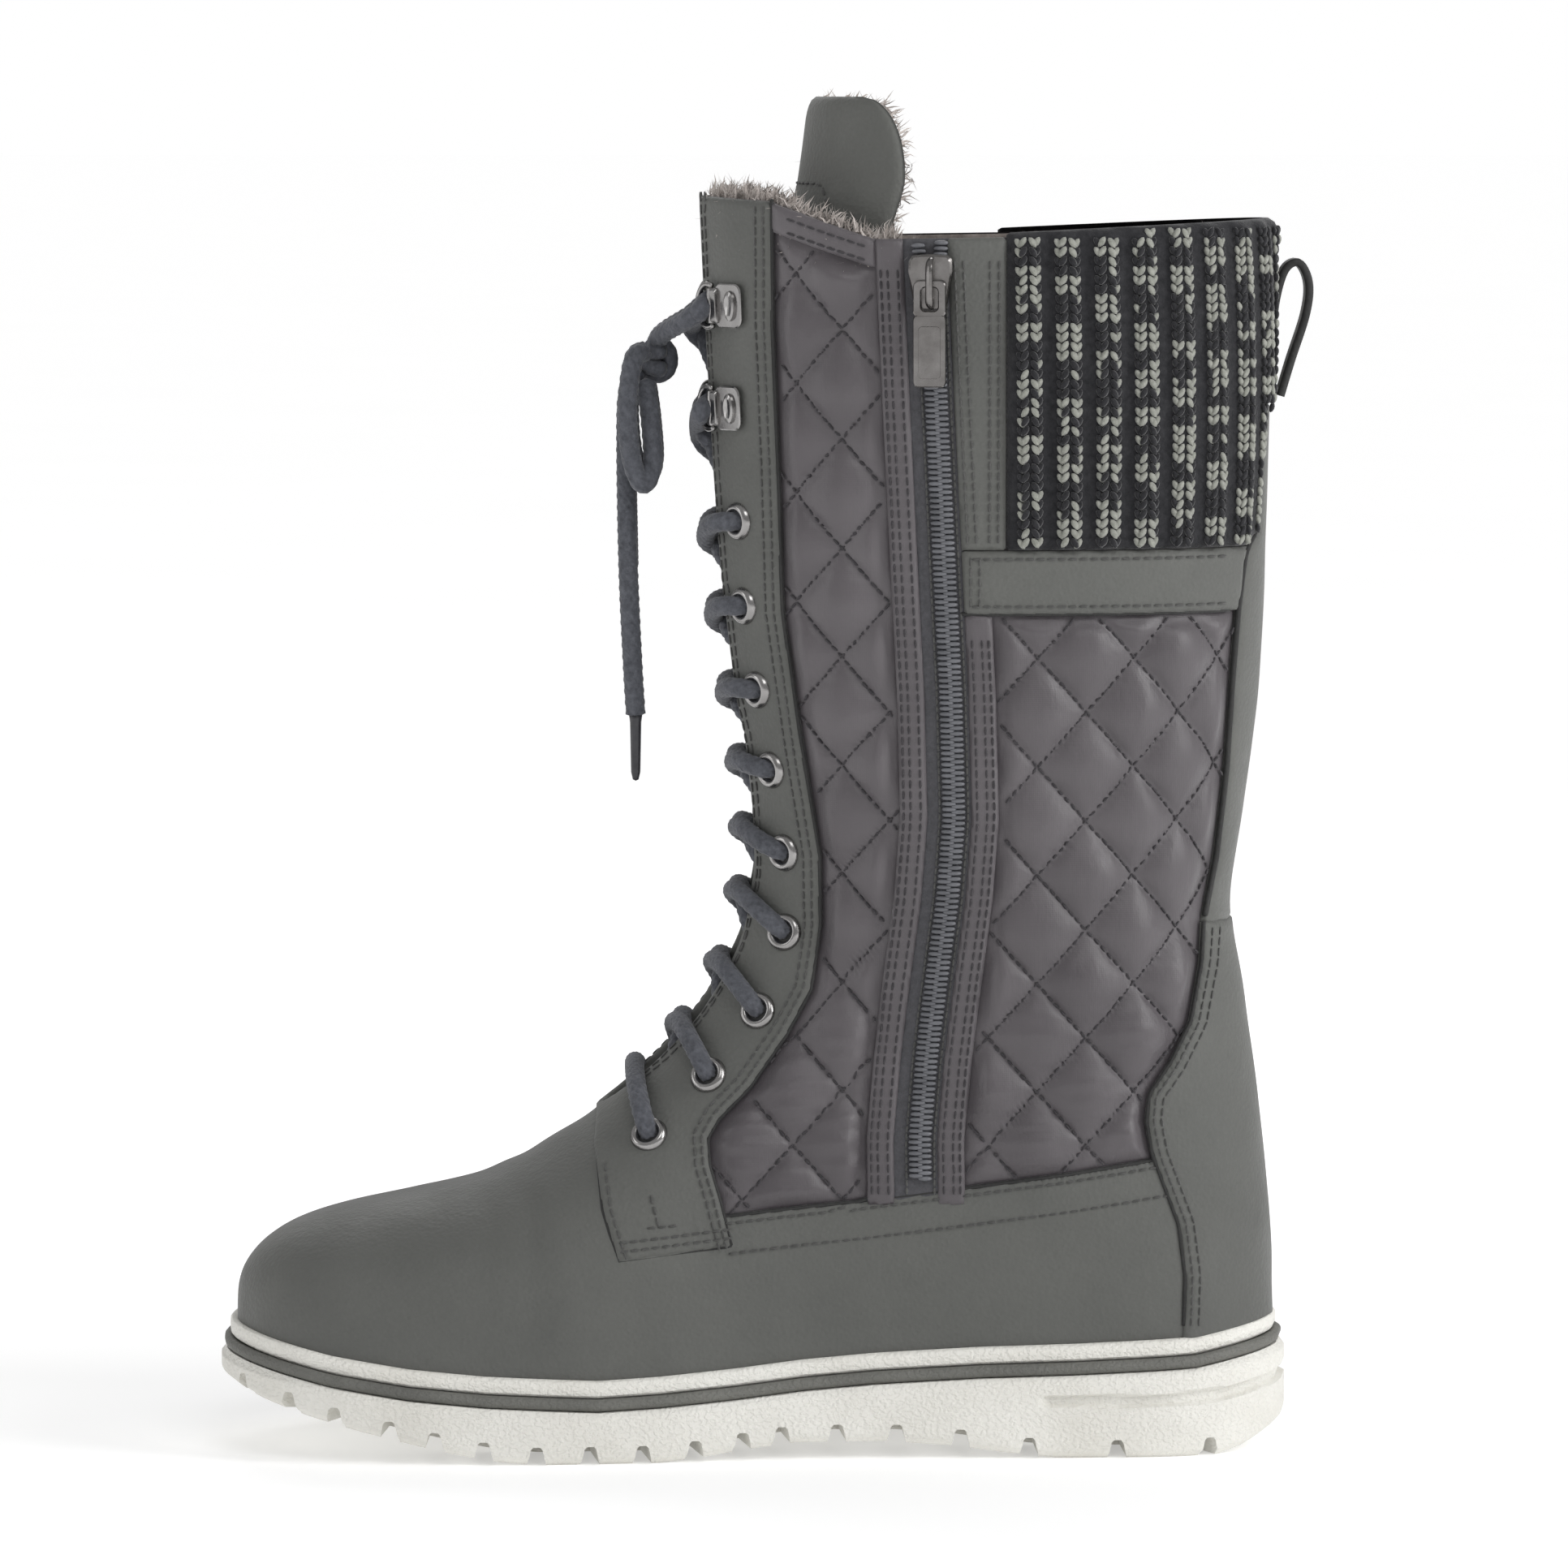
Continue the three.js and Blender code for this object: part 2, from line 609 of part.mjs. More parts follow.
// Finds the place on one side of the last that a side view shows at x and z
function locate(x, z, side) {
  let best = { u: 0, v: 0, miss: Infinity };
  for (const u of range(6, SECTION_END, 54)) {
    for (const v of range(0.1, 3, 29)) {
      const p = lastPoint(u, side * v);
      const miss = (p.x - x) ** 2 + (p.z - z) ** 2;
      if (miss < best.miss) best = { u, v: side * v, miss };
    }
  }
  let { u, v } = best;
  const step = 0.01;
  for (let k = 0; k < 8; k += 1) {
    const p = lastPoint(u, v);
    const du = lastPoint(u + step, v).sub(p).divideScalar(step);
    const dv = lastPoint(u, v + step).sub(p).divideScalar(step);
    const area = du.x * dv.z - du.z * dv.x;
    const missX = x - p.x;
    const missZ = z - p.z;
    u += (missX * dv.z - missZ * dv.x) / area;
    v += (du.x * missZ - du.z * missX) / area;
  }
  return { u, v, point: lastPoint(u, v), normal: lastNormal(u, v) };
}

// A local frame on the boot's side: x forward, y up along the surface, z outward
function seat(x, z, side) {
  const { point, normal } = locate(x, z, side);
  const up = new THREE.Vector3(0, 0, 1).addScaledVector(normal, -normal.z).normalize();
  const forward = normal.clone().cross(up).multiplyScalar(side);
  return new THREE.Matrix4().makeBasis(forward, up, normal).setPosition(point);
}

function placed(geometry, frame) {
  return solidOf(geometry.clone().applyMatrix4(frame));
}

function sideOf(outline, side) {
  return side > 0 ? sidePrism(outline, GAP / 2, FAR) : sidePrism(outline, -FAR, -GAP / 2);
}

function tube(points, radius, sides, steps) {
  const ring = range(0, 2 * Math.PI, sides).slice(0, sides);
  const corners = ring.map((a) => new THREE.Vector2(radius * Math.cos(a), radius * Math.sin(a)));
  const shape = new THREE.Shape(corners);
  const extrudePath = new THREE.CatmullRomCurve3(points);
  return solidOf(new THREE.ExtrudeGeometry(shape, { steps, extrudePath, bevelEnabled: false }));
}

// Tongue: a padded sheet inside the throat that leans back above the collar
function makeTongue() {
  const rings = range(TONGUE_FROM, TONGUE_TO, 15).map((u) => {
    const share = (u - TONGUE_FROM) / (TONGUE_TO - TONGUE_FROM);
    const half = TONGUE_HALF_LOW + (TONGUE_HALF_TOP - TONGUE_HALF_LOW) * share;
    const across = range(-half, half, 6);
    const face = (depth) => across.map((v) => {
      const p = skin(u, v, -WALL - TONGUE_GAP - depth);
      return p.setX(p.x - linear(TONGUE_LEAN_ROWS, p.z));
    });
    return [...face(0), ...face(TONGUE_THICK).reverse()];
  });
  return slabSolid(rings, 7);
}

function makeEyestay(side) {
  const facing = shell(GAP, GAP + EYESTAY_THICK).intersect(sideOf(EYESTAY_OUTLINE, side));
  return facing.subtract(throatPrism(0)).subtract(collarPrism(-GAP));
}

function makeCounter() {
  const heel = shell(GAP, GAP + COUNTER_THICK).intersect(sidePrism(COUNTER_OUTLINE));
  return heel.subtract(belowPrism(lipHeight, GAP));
}

// Pieces round the back of the shaft stop at the back strip's edge, given as x by height
function backEdge(extra, low, high) {
  const heights = STRIP_EDGE_ROWS.map(([z]) => z).filter((z) => z > low && z < high);
  return [low, ...heights, high].map((z) => [linear(STRIP_EDGE_ROWS, z) + extra, z]);
}

function makeBackStrip() {
  const edge = backEdge(0, STRIP_LOW, STRIP_TOP);
  const area = sidePrism([[BEHIND, STRIP_LOW], ...edge, [BEHIND, STRIP_TOP]]);
  return shell(GAP, GAP + STRIP_THICK).intersect(area);
}

function makeKnitCuff() {
  const side = [[BEHIND, CUFF_LOW], [CUFF_FRONT, CUFF_LOW], [CUFF_FRONT, ABOVE], [BEHIND, ABOVE]];
  const cuff = shell(GAP, GAP + KNIT_THICK).intersect(sidePrism(side)).subtract(collarPrism(KNIT_ABOVE));
  const low = CUFF_LOW - 1;
  const strip = sidePrism([[BEHIND, low], ...backEdge(GAP, low, STRIP_TOP), [BEHIND, STRIP_TOP]]);
  const half = LOOP_WIDE / 2 + 1;
  const slot = [[-half, STRIP_TOP - 1], [half, STRIP_TOP - 1], [half, LOOP_ROOM_TOP], [-half, LOOP_ROOM_TOP]];
  return cuff.subtract(strip).subtract(frontPrism(slot, BEHIND, -BEHIND));
}

function strapFront(z, side) {
  return side > 0 ? zipX(z) - ZIP_TAPE_BACK - GAP : STRAP_FRONT;
}

function makeCuffStrap(side) {
  const top = CUFF_LOW - GAP;
  const front = [top, STRAP_LOW].map((z) => [strapFront(z, side), z]);
  return shell(GAP, GAP + STRAP_THICK).intersect(sideOf([...backEdge(GAP, STRAP_LOW, top), ...front], side));
}

function makeCuffStrip(side) {
  const back = [[CUFF_FRONT + GAP, ABOVE], [CUFF_FRONT + GAP, CUFF_LOW]];
  const heights = [CUFF_LOW, ...ZIP_ROWS.map(([z]) => z).filter((z) => z > CUFF_LOW)];
  const front = [...heights, ABOVE].map((z) => [strapFront(z, side), z]);
  const strip = shell(GAP, GAP + STRAP_THICK).intersect(sideOf([...back, ...front], side));
  return strip.subtract(collarPrism(0));
}

// Zip: bands on the inner side that follow its line, from one x offset to another
function zipX(z) {
  return linear(ZIP_ROWS, z);
}

function makeZipBand(from, to, low, high, zLow, zHigh) {
  const heights = [zLow, ...ZIP_ROWS.map(([z]) => z).filter((z) => z > zLow && z < zHigh), zHigh];
  const front = heights.map((z) => [zipX(z) + to, z]);
  const back = heights.map((z) => [zipX(z) + from, z]).reverse();
  return shell(low, high).intersect(sideOf([...front, ...back], 1)).subtract(collarPrism(0));
}

const sliderFrame = () => seat(zipX(SLIDER_Z), SLIDER_Z, 1);

function box(width, tall, deep, x, y, z) {
  return new THREE.BoxGeometry(width, tall, deep).translate(x, y, z);
}

// Slider: a waisted body in front of the chain with an arch that holds the pull's bar
function makeSlider() {
  const shape = new THREE.Shape();
  shape.moveTo(-5.2, 7);
  shape.lineTo(5.2, 7);
  shape.lineTo(5.6, 3);
  shape.lineTo(3.9, -7);
  shape.lineTo(-3.9, -7);
  shape.lineTo(-5.6, 3);
  const frame = sliderFrame();
  const plate = new THREE.ExtrudeGeometry(shape, { depth: SLIDER_TOP - SLIDER_FOOT, bevelEnabled: false });
  const body = placed(plate.translate(0, 0, SLIDER_FOOT), frame);
  const tall = ARCH_TOP - SLIDER_TOP + 1;
  const leg = (end) => box(ARCH_WIDE, 1.4, tall, 0, 4.9 * end, ARCH_TOP - tall / 2);
  const legs = [-1, 1].map((end) => placed(leg(end), frame));
  const top = placed(box(ARCH_WIDE, 11.2, 1.4, 0, 0, ARCH_TOP - 0.7), frame);
  return legs.reduce((all, one) => all.add(one), body).add(top);
}

// Pull tab: hangs from its bar under the arch, with a window that the arch passes through
function makePull() {
  const frame = sliderFrame();
  const shape = new THREE.Shape();
  shape.moveTo(-4.1, 0.8);
  shape.lineTo(4.1, 0.8);
  shape.absarc(0, -PULL_LONG + 4.3, 4.3, 0, -Math.PI, true);
  const tab = new THREE.ExtrudeGeometry(shape, { depth: 1.6, bevelEnabled: false, curveSegments: 8 });
  const opening = placed(box(4.2, 6.2, 8, 0, -3.9, HINGE_OUT), frame);
  return placed(tab.translate(0, 0, HINGE_OUT - 0.8), frame).subtract(opening);
}

function makeEyelet(x, z, side) {
  const foot = GAP + EYESTAY_THICK + 2 * GAP;
  const profile = [[2.7, foot], [5.1, foot], [4.5, foot + 1.2], [2.7, foot + 1], [2.7, foot]];
  const ring = new THREE.LatheGeometry(profile.map(([r, h]) => new THREE.Vector2(r, h)), 8);
  return placed(ring.rotateX(Math.PI / 2), seat(x, z, side));
}

// Ring plate: a riveted plate whose rolled front edge holds a D-ring
function makeRingPlate(z, side) {
  const frame = seat(RING_PLATE_X, z, side);
  const plate = placed(box(9.4, 11.4, 0.9, -0.3, 0, PLATE_OUT), frame);
  const roll = new THREE.CylinderGeometry(1.3, 1.3, 9.2, 8).translate(5.5, 0, PLATE_OUT + 0.4);
  const rivet = new THREE.CylinderGeometry(1.2, 1.8, 1, 8).rotateX(Math.PI / 2).scale(1, 2, 1);
  return plate.add(placed(roll, frame)).add(placed(rivet.translate(-1.5, 0, PLATE_OUT + 0.7), frame));
}

function makeLaceRing(z, side) {
  const frame = seat(RING_PLATE_X, z, side);
  const wire = [[4.9, 5.6], [8, 5.5], [10.4, 3.2], [11.2, 0], [10.4, -3.2], [8, -5.5], [4.9, -5.6]];
  return tube(wire.map(([x, y]) => new THREE.Vector3(x, y, PLATE_OUT + 0.4).applyMatrix4(frame)), 0.7, 6, 8);
}

// Lace: strands cross over the throat from each level on one side to the next level on the other
function laceEnd(level, side) {
  if (level < EYELETS.length) return locate(...EYELETS[level], side);
  const z = RING_Z[level - EYELETS.length];
  return { u: bisect((u) => z - section(u).topZ, 7, SECTION_END), v: side * LACE_TOP_ANGLE };
}

function strand(from, to) {
  const a = laceEnd(from, 1);
  const b = laceEnd(to, -1);
  const points = range(0, 1, 4).map((t) => {
    const away = LACE_MIDDLE + (LACE_OUT - LACE_MIDDLE) * (2 * t - 1) ** 2;
    return skin(a.u + (b.u - a.u) * t, a.v + (b.v - a.v) * t, away);
  });
  return tube(points, LACE_RADIUS, 4, 4);
}

function makeLaceCrossings() {
  const top = EYELETS.length + RING_Z.length - 1;
  const levels = range(0, top - 1, top - 1);
  const pairs = levels.flatMap((level) => [strand(level, level + 1), strand(level + 1, level)]);
  return pairs.reduce((all, part) => all.add(part), strand(0, 0));
}

function cord(points, steps) {
  return tube(points.map((p) => new THREE.Vector3(...p)), LACE_RADIUS, 8, steps);
}

function makeKnot() {
  const ball = new THREE.SphereGeometry(1, 10, 7).scale(...KNOT_SIZE).translate(...KNOT_AT);
  return solidOf(ball);
}

function makeAglet([x, y, z]) {
  const tip = new THREE.CylinderGeometry(1.5, 1.2, AGLET_LONG, 8).rotateX(Math.PI / 2);
  return solidOf(tip.translate(x, y, z - AGLET_LONG / 2 - GAP));
}

// Pull loop: a flat strap from the back strip out, over and down against the shaft
function makePullLoop() {
  const line = new THREE.CatmullRomCurve3(LOOP_LINE.map(([x, z]) => new THREE.Vector3(x, 0, z)));
  const rings = range(0, 1, 18).map((t) => {
    const p = line.getPoint(t);
    const along = line.getTangent(t);
    const away = new THREE.Vector3(-along.z, 0, along.x).multiplyScalar(LOOP_THICK / 2);
    const corners = [[1, -1], [1, 1], [-1, 1], [-1, -1]];
    return corners.map(([n, side]) => p.clone().addScaledVector(away, n).setY((side * LOOP_WIDE) / 2));
  });
  return ringSolid(rings);
}

add('outsole', makeOutsole(), soleRubber);
add('sole_stripe', makeStripe(), stripeRubber);
add('insole', makeInsole(), lining);
add('upper', makeUpper(), leather);
add('tongue', makeTongue(), leather);
for (const [side, word] of [[1, 'medial'], [-1, 'lateral']]) {
  add(`eyestay_${word}`, makeEyestay(side), leather);
  add(`cuff_strap_${word}`, makeCuffStrap(side), leather);
  add(`cuff_strip_${word}`, makeCuffStrip(side), leather);
  EYELETS.forEach(([x, z], k) => add(`eyelet_${word}_${k + 1}`, makeEyelet(x, z, side), gunmetal));
  RING_Z.forEach((z, k) => add(`ring_plate_${word}_${k + 1}`, makeRingPlate(z, side), gunmetal));
  RING_Z.forEach((z, k) => add(`lace_ring_${word}_${k + 1}`, makeLaceRing(z, side), gunmetal));
}
add('counter', makeCounter(), leather);
add('back_strip', makeBackStrip(), leather);
add('pull_loop', makePullLoop(), leather);
add('knit_cuff', makeKnitCuff(), knit);
const facingFront = ZIP_TAPE_FRONT + GAP;
const facingBack = -ZIP_TAPE_BACK - GAP;
const facingTop = GAP + FACING_THICK;
const frontBand = makeZipBand(facingFront, facingFront + ZIP_FACING, GAP, facingTop, ZIP_LOW, ZIP_TOP);
const backBand = makeZipBand(facingBack - ZIP_FACING, facingBack, GAP, facingTop, ZIP_LOW, STRAP_LOW - GAP);
const tapeTop = GAP + TAPE_THICK;
const tapeBand = makeZipBand(-ZIP_TAPE_BACK, ZIP_TAPE_FRONT, GAP, tapeTop, ZIP_LOW, ZIP_TOP);
const chainLow = ZIP_LOW + 4;
const chainFoot = tapeTop + GAP;
const chainBand = makeZipBand(-ZIP_CHAIN_HALF, ZIP_CHAIN_HALF, chainFoot, CHAIN_TOP, chainLow, ZIP_TOP);
add('zip_facing_front', frontBand, leather);
add('zip_facing_back', backBand, leather);
add('zip_tape', tapeBand, quilt);
add('zip_chain', chainBand, gunmetal);
add('zip_slider', makeSlider(), gunmetal);
add('zip_pull', makePull(), gunmetal);
add('lace_crossings', makeLaceCrossings(), lace);
add('lace_knot', makeKnot(), lace);
add('lace_loop_medial', cord(LOOP_POINTS, 12), lace);
add('lace_loop_lateral', cord(LOOP_POINTS.map(([x, y, z]) => [x, -y, z]), 12), lace);
add('lace_end_medial', cord(END_POINTS, 9), lace);
const shortEnd = END_POINTS.slice(0, SHORT_END).map(([x, y, z]) => [x, -y, z]);
add('lace_end_lateral', cord(shortEnd, 6), lace);
add('aglet_medial', makeAglet(END_POINTS.at(-1)), gunmetal);
add('aglet_lateral', makeAglet(shortEnd.at(-1)), gunmetal);

export default boot;
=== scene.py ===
import math

import bpy
import numpy as np
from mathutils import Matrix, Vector
from mathutils.kdtree import KDTree


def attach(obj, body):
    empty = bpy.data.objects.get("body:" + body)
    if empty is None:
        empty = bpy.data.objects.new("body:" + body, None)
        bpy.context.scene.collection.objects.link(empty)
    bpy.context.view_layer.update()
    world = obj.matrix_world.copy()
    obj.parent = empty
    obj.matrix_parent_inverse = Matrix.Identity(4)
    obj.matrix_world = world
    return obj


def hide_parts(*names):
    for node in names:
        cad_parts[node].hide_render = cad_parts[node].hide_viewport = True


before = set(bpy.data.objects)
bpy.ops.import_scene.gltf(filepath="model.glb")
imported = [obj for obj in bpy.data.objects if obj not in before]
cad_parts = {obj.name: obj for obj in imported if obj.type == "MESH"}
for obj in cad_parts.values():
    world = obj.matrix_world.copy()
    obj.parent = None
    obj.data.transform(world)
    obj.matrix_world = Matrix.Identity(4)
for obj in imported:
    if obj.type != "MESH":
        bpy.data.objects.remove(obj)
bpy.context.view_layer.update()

rng = np.random.default_rng(11)

# All lengths below are millimetres on the shoe last; this point is the frame's origin
ORIGIN = np.array([137.8, 1.6, 0.0])

# Sections of the last from toe to collar:
# top x, top z, low x, low z, inner half, outer half, crest, power above, power below
ROWS = np.array([
    [275.5, 36, 275.5, 18, 5, -5, 5, 3.4, 4.5],
    [274.7, 43, 274.7, 18, 15.9, 5.9, 5, 3.4, 4.5],
    [272.5, 48, 272.5, 15, 23.7, 13.7, 5, 3.2, 4.5],
    [267.5, 53, 267.5, 9, 32.3, 22.7, 4.8, 3.0, 4.5],
    [259.5, 57.5, 259.5, 4, 39.2, 31.2, 4, 2.8, 4.5],
    [247.5, 61.3, 247.5, 4, 43.9, 38.9, 2.5, 2.6, 4.5],
    [230, 65, 230, 4, 45.8, 44.8, 1, 2.4, 4.5],
    [210, 70, 210, 4, 46, 48.2, 0, 2.3, 4.5],
    [190, 81, 190, 4, 45.5, 49.5, 0, 2.1, 4.5],
    [174, 93, 163, 4, 42.5, 48.5, 0, 2.0, 4.5],
    [160, 107.5, 133, 4, 38, 45, 0, 2.0, 4.5],
    [151, 121, 103, 4, 35.5, 41.5, 0, 2.0, 4.5],
    [145.5, 134, 68, 4, 35, 38.5, 0, 2.0, 4.2],
    [143, 147, 32, 4, 35, 36.5, 0, 2.1, 3.4],
    [142.2, 157, 9, 6, 35.5, 36.5, 0, 2.1, 2.7],
    [142.2, 167, 6.6, 46, 36.5, 37.5, 0, 2.2, 2.4],
    [142.8, 177, 9.6, 84, 38, 38.5, 0, 2.2, 2.3],
    [144, 187.5, 13.8, 116, 39, 39.5, 0, 2.2, 2.2],
    [145.8, 199, 17.4, 142, 40, 40, 0, 2.3, 2.2],
    [147.7, 213, 14, 168, 41, 41, 0, 2.3, 2.2],
    [149.7, 231, 10, 202, 42.5, 42.5, 0, 2.3, 2.2],
    [151.7, 258, 8.3, 246, 44.5, 44.5, 0, 2.3, 2.2],
    [154, 300, 7.2, 296, 46.5, 46.5, 0, 2.3, 2.2],
    [155.5, 332, 7, 331, 47, 47, 0, 2.3, 2.2],
    [156.5, 362, 7, 362, 47.5, 47.5, 0, 2.3, 2.2]])
LAST_ROW = len(ROWS) - 1

LIP = ([0, 6, 26, 56, 82, 110, 128, 145, 165, 181, 210, 230, 250, 266, 280],
       [35.5, 34.5, 31, 29.7, 29, 27.5, 26, 24, 22.3, 21.5, 22.9, 24.8, 28, 31.5, 34.5])
TREAD = ([0, 4, 10, 16, 22, 62, 74, 90, 106, 130, 144, 156, 166, 197, 207, 218, 230, 242, 254, 266, 275, 280],
         [13.5, 9, 4.6, 1.6, 0, 0, 1.3, 3.4, 4.5, 4.5, 2.8, 1, 0, 0, .8, 2.8, 5.6, 8.6, 12, 15.8, 19.2, 22.5])
COLLAR = ([-20, 2, 75, 110, 122, 137, 158, 210], [320, 320, 316.5, 316, 320, 325.5, 327, 327])
THROAT = ([88, 88.8, 91, 96, 110, 150, 220, 340], [0, 4, 6.5, 8.5, 9.5, 10.5, 11.5, 13])
STRIP_EDGE = ([138.3, 155, 177.6, 200, 220, 235, 240, 273], [24.2, 20.8, 18.3, 17, 15.5, 13.6, 10.5, 9.5])
ZIP_LINE = ([70, 83, 104, 125, 146, 167, 199, 231, 273, 318, 330],
            [97.5, 97.7, 95.8, 93.2, 90.5, 89, 89.9, 91.6, 93.7, 95.8, 96.3])
QUARTER_TOP = ([20, 36, 62, 88, 112, 136, 150, 170, 185], [79, 77.5, 73.5, 70, 67, 64.5, 63, 62, 62])
LEAN = ([80, 180, 240, 290, 330, 360], [0, 0, 3, 10, 22, 27])
NOTCHES = [23.8, 46.7, 69, 87, 104, 119.5, 133.7, 144.5, 156.6, 170, 183.3, 197, 210.3, 222.7, 234.7, 247.5,
           259, 269]
EYELETS = [(167.5, 82.8), (152, 98), (139, 114.8), (132, 135.5), (131.8, 156.7), (135, 178.3),
           (138.6, 199.2), (142, 220.9), (143.4, 242.9)]
RING_Z = [272.2, 298.7]
RING_X = 145.5
EYESTAY = [(135.8, 330), (175, 330), (175, 130), (189, 104), (189, 90), (181.5, 86.5), (182, 80), (179.8, 65),
           (175.8, 52.2), (146.6, 55.6), (149.8, 68), (152.3, 76), (152.7, 82.8), (149.8, 87.6),
           (141.7, 95.7),
           (132, 109.5), (125.8, 121), (123.2, 138), (123.4, 156), (128.4, 187.7), (133, 219.6),
           (134.1, 255.7),
           (135.6, 294)]
COUNTER = [(-20, 10), (30, 10), (29, 47), (30.7, 60.3), (37.5, 78.8), (39.2, 87.8), (38.4, 94.8),
           (33.1, 102.6),
           (27.8, 113), (25, 128), (24.4, 138.3), (-20, 138.3)]
CUFF_LOW, CUFF_FRONT, STRAP_LOW, STRAP_FRONT = 236.3, 76, 219.8, 87
SLIDER_Z = 305
TAPE_BACK, TAPE_FRONT, FACING = 4.2, 6.5, 7


def lookup(table, x):
    return np.interp(x, table[0], table[1])


def section(u):
    u = np.clip(u, 0, LAST_ROW)
    i = np.minimum(u.astype(int), LAST_ROW - 1)
    t = (u - i)[..., None]
    a, b = ROWS[np.maximum(i - 1, 0)], ROWS[i]
    c, d = ROWS[i + 1], ROWS[np.minimum(i + 2, LAST_ROW)]
    return b + 0.5 * t * (c - a + t * (2 * a - 5 * b + 4 * c - d + t * (3 * (b - c) + d - a)))


def last(u, v):
    u, v = np.broadcast_arrays(np.asarray(u, float), np.asarray(v, float))
    s = section(u)
    c, n = np.cos(v), np.sin(v)
    power = 2 / np.where(c >= 0, s[..., 7], s[..., 8])
    along = np.sign(c) * np.abs(c) ** power
    out = np.abs(n) ** power
    y = np.where(n >= 0, s[..., 6] + (s[..., 4] - s[..., 6]) * out, s[..., 6] - (s[..., 5] + s[..., 6]) * out)
    x = (s[..., 0] + s[..., 2]) / 2 + along * (s[..., 0] - s[..., 2]) / 2
    z = (s[..., 1] + s[..., 3]) / 2 + along * (s[..., 1] - s[..., 3]) / 2
    return np.stack([x, y, z], -1)


def unit(a):
    return a / np.maximum(np.linalg.norm(a, axis=-1, keepdims=True), 1e-9)


def normal(u, v):
    e = 0.012
    du = last(np.minimum(u + e, LAST_ROW), v) - last(np.maximum(u - e, 0), v)
    dv = last(u, v + e) - last(u, v - e)
    return unit(np.cross(dv, du))


def skin(u, v, away):
    return last(u, v) + normal(u, v) * np.asarray(away)[..., None]


def wavy(p, size, seed=0.0):
    x, y, z = (np.asarray(p) / size).T if np.ndim(p) == 2 else np.moveaxis(np.asarray(p) / size, -1, 0)
    return (np.sin(2.1 * x + 1.3 * np.sin(1.7 * z + seed))
            + np.sin(2.3 * z + 1.1 * np.sin(1.9 * y + 2 * seed))
            + np.sin(2.6 * y + 1.2 * np.sin(2.2 * x - seed))) / 3


def to_frame(p):
    return (np.asarray(p, float) - ORIGIN) / 1000


def piece(name, points, faces, material, body="boot", replaces=(), slot="leather", smooth=True, sharp=None):
    mesh = bpy.data.meshes.new(name)
    mesh.from_pydata(to_frame(points).tolist(), [], [list(map(int, f)) for f in faces])
    mesh.validate()
    mesh.polygons.foreach_set("use_smooth", [smooth] * len(mesh.polygons))
    if sharp:
        mesh.set_sharp_from_angle(angle=math.radians(sharp))
    for m in material if isinstance(material, list) else [material]:
        mesh.materials.append(m)
    obj = bpy.data.objects.new(name, mesh)
    bpy.context.scene.collection.objects.link(obj)
    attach(obj, body)
    if replaces:
        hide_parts(*replaces)
    return obj


class Parts:
    """Gathers many small closed shapes into one piece."""

    def __init__(self):
        self.points, self.faces, self.tones, self.count = [], [], [], 0

    def put(self, points, faces, tone=0):
        self.faces.extend([[k + self.count for k in f] for f in faces])
        self.points.extend(np.asarray(points).tolist())
        self.tones.extend([tone] * len(faces))
        self.count += len(points)

    def make(self, name, material, **more):
        obj = piece(name, self.points, self.faces, material, **more)
        if isinstance(material, list):
            obj.data.polygons.foreach_set("material_index", self.tones)
        return obj


def grid_faces(rows, columns, close_rows=False, close_columns=False):
    faces = []
    for i in range(rows if close_rows else rows - 1):
        for j in range(columns if close_columns else columns - 1):
            a, b = i * columns + j, i * columns + (j + 1) % columns
            c, d = ((i + 1) % rows) * columns + (j + 1) % columns, ((i + 1) % rows) * columns + j
            faces.append([a, b, c, d])
    return faces


def spline(points, step):
    """A smooth line through points, sampled at even steps."""
    p = np.asarray(points, float)
    ends = np.vstack([2 * p[0] - p[1], p, 2 * p[-1] - p[-2]])
    t = np.linspace(0, 1, 24, endpoint=False)[:, None]
    rows = []
    for a, b, c, d in zip(ends, ends[1:], ends[2:], ends[3:]):
        rows.append(b + 0.5 * t * (c - a + t * (2 * a - 5 * b + 4 * c - d + t * (3 * (b - c) + d - a))))
    line = np.vstack(rows + [p[-1:]])
    return even(line, step)


def even(line, step):
    far = np.concatenate([[0], np.cumsum(np.linalg.norm(np.diff(line, axis=0), axis=1))])
    count = max(int(round(far[-1] / step)), 2)
    at = np.linspace(0, far[-1], count + 1)
    return np.stack([np.interp(at, far, line[:, k]) for k in range(line.shape[1])], 1)


def frames(line):
    """Tangent and two steady cross directions along a line."""
    t = unit(np.gradient(line, axis=0))
    n = np.zeros_like(t)
    first = np.cross(t[0], [0.3, 0.2, 0.93])
    n[0] = first / np.linalg.norm(first)
    for k in range(1, len(t)):
        step = n[k - 1] - t[k] * np.dot(n[k - 1], t[k])
        n[k] = step / np.linalg.norm(step)
    return t, n, np.cross(t, n)


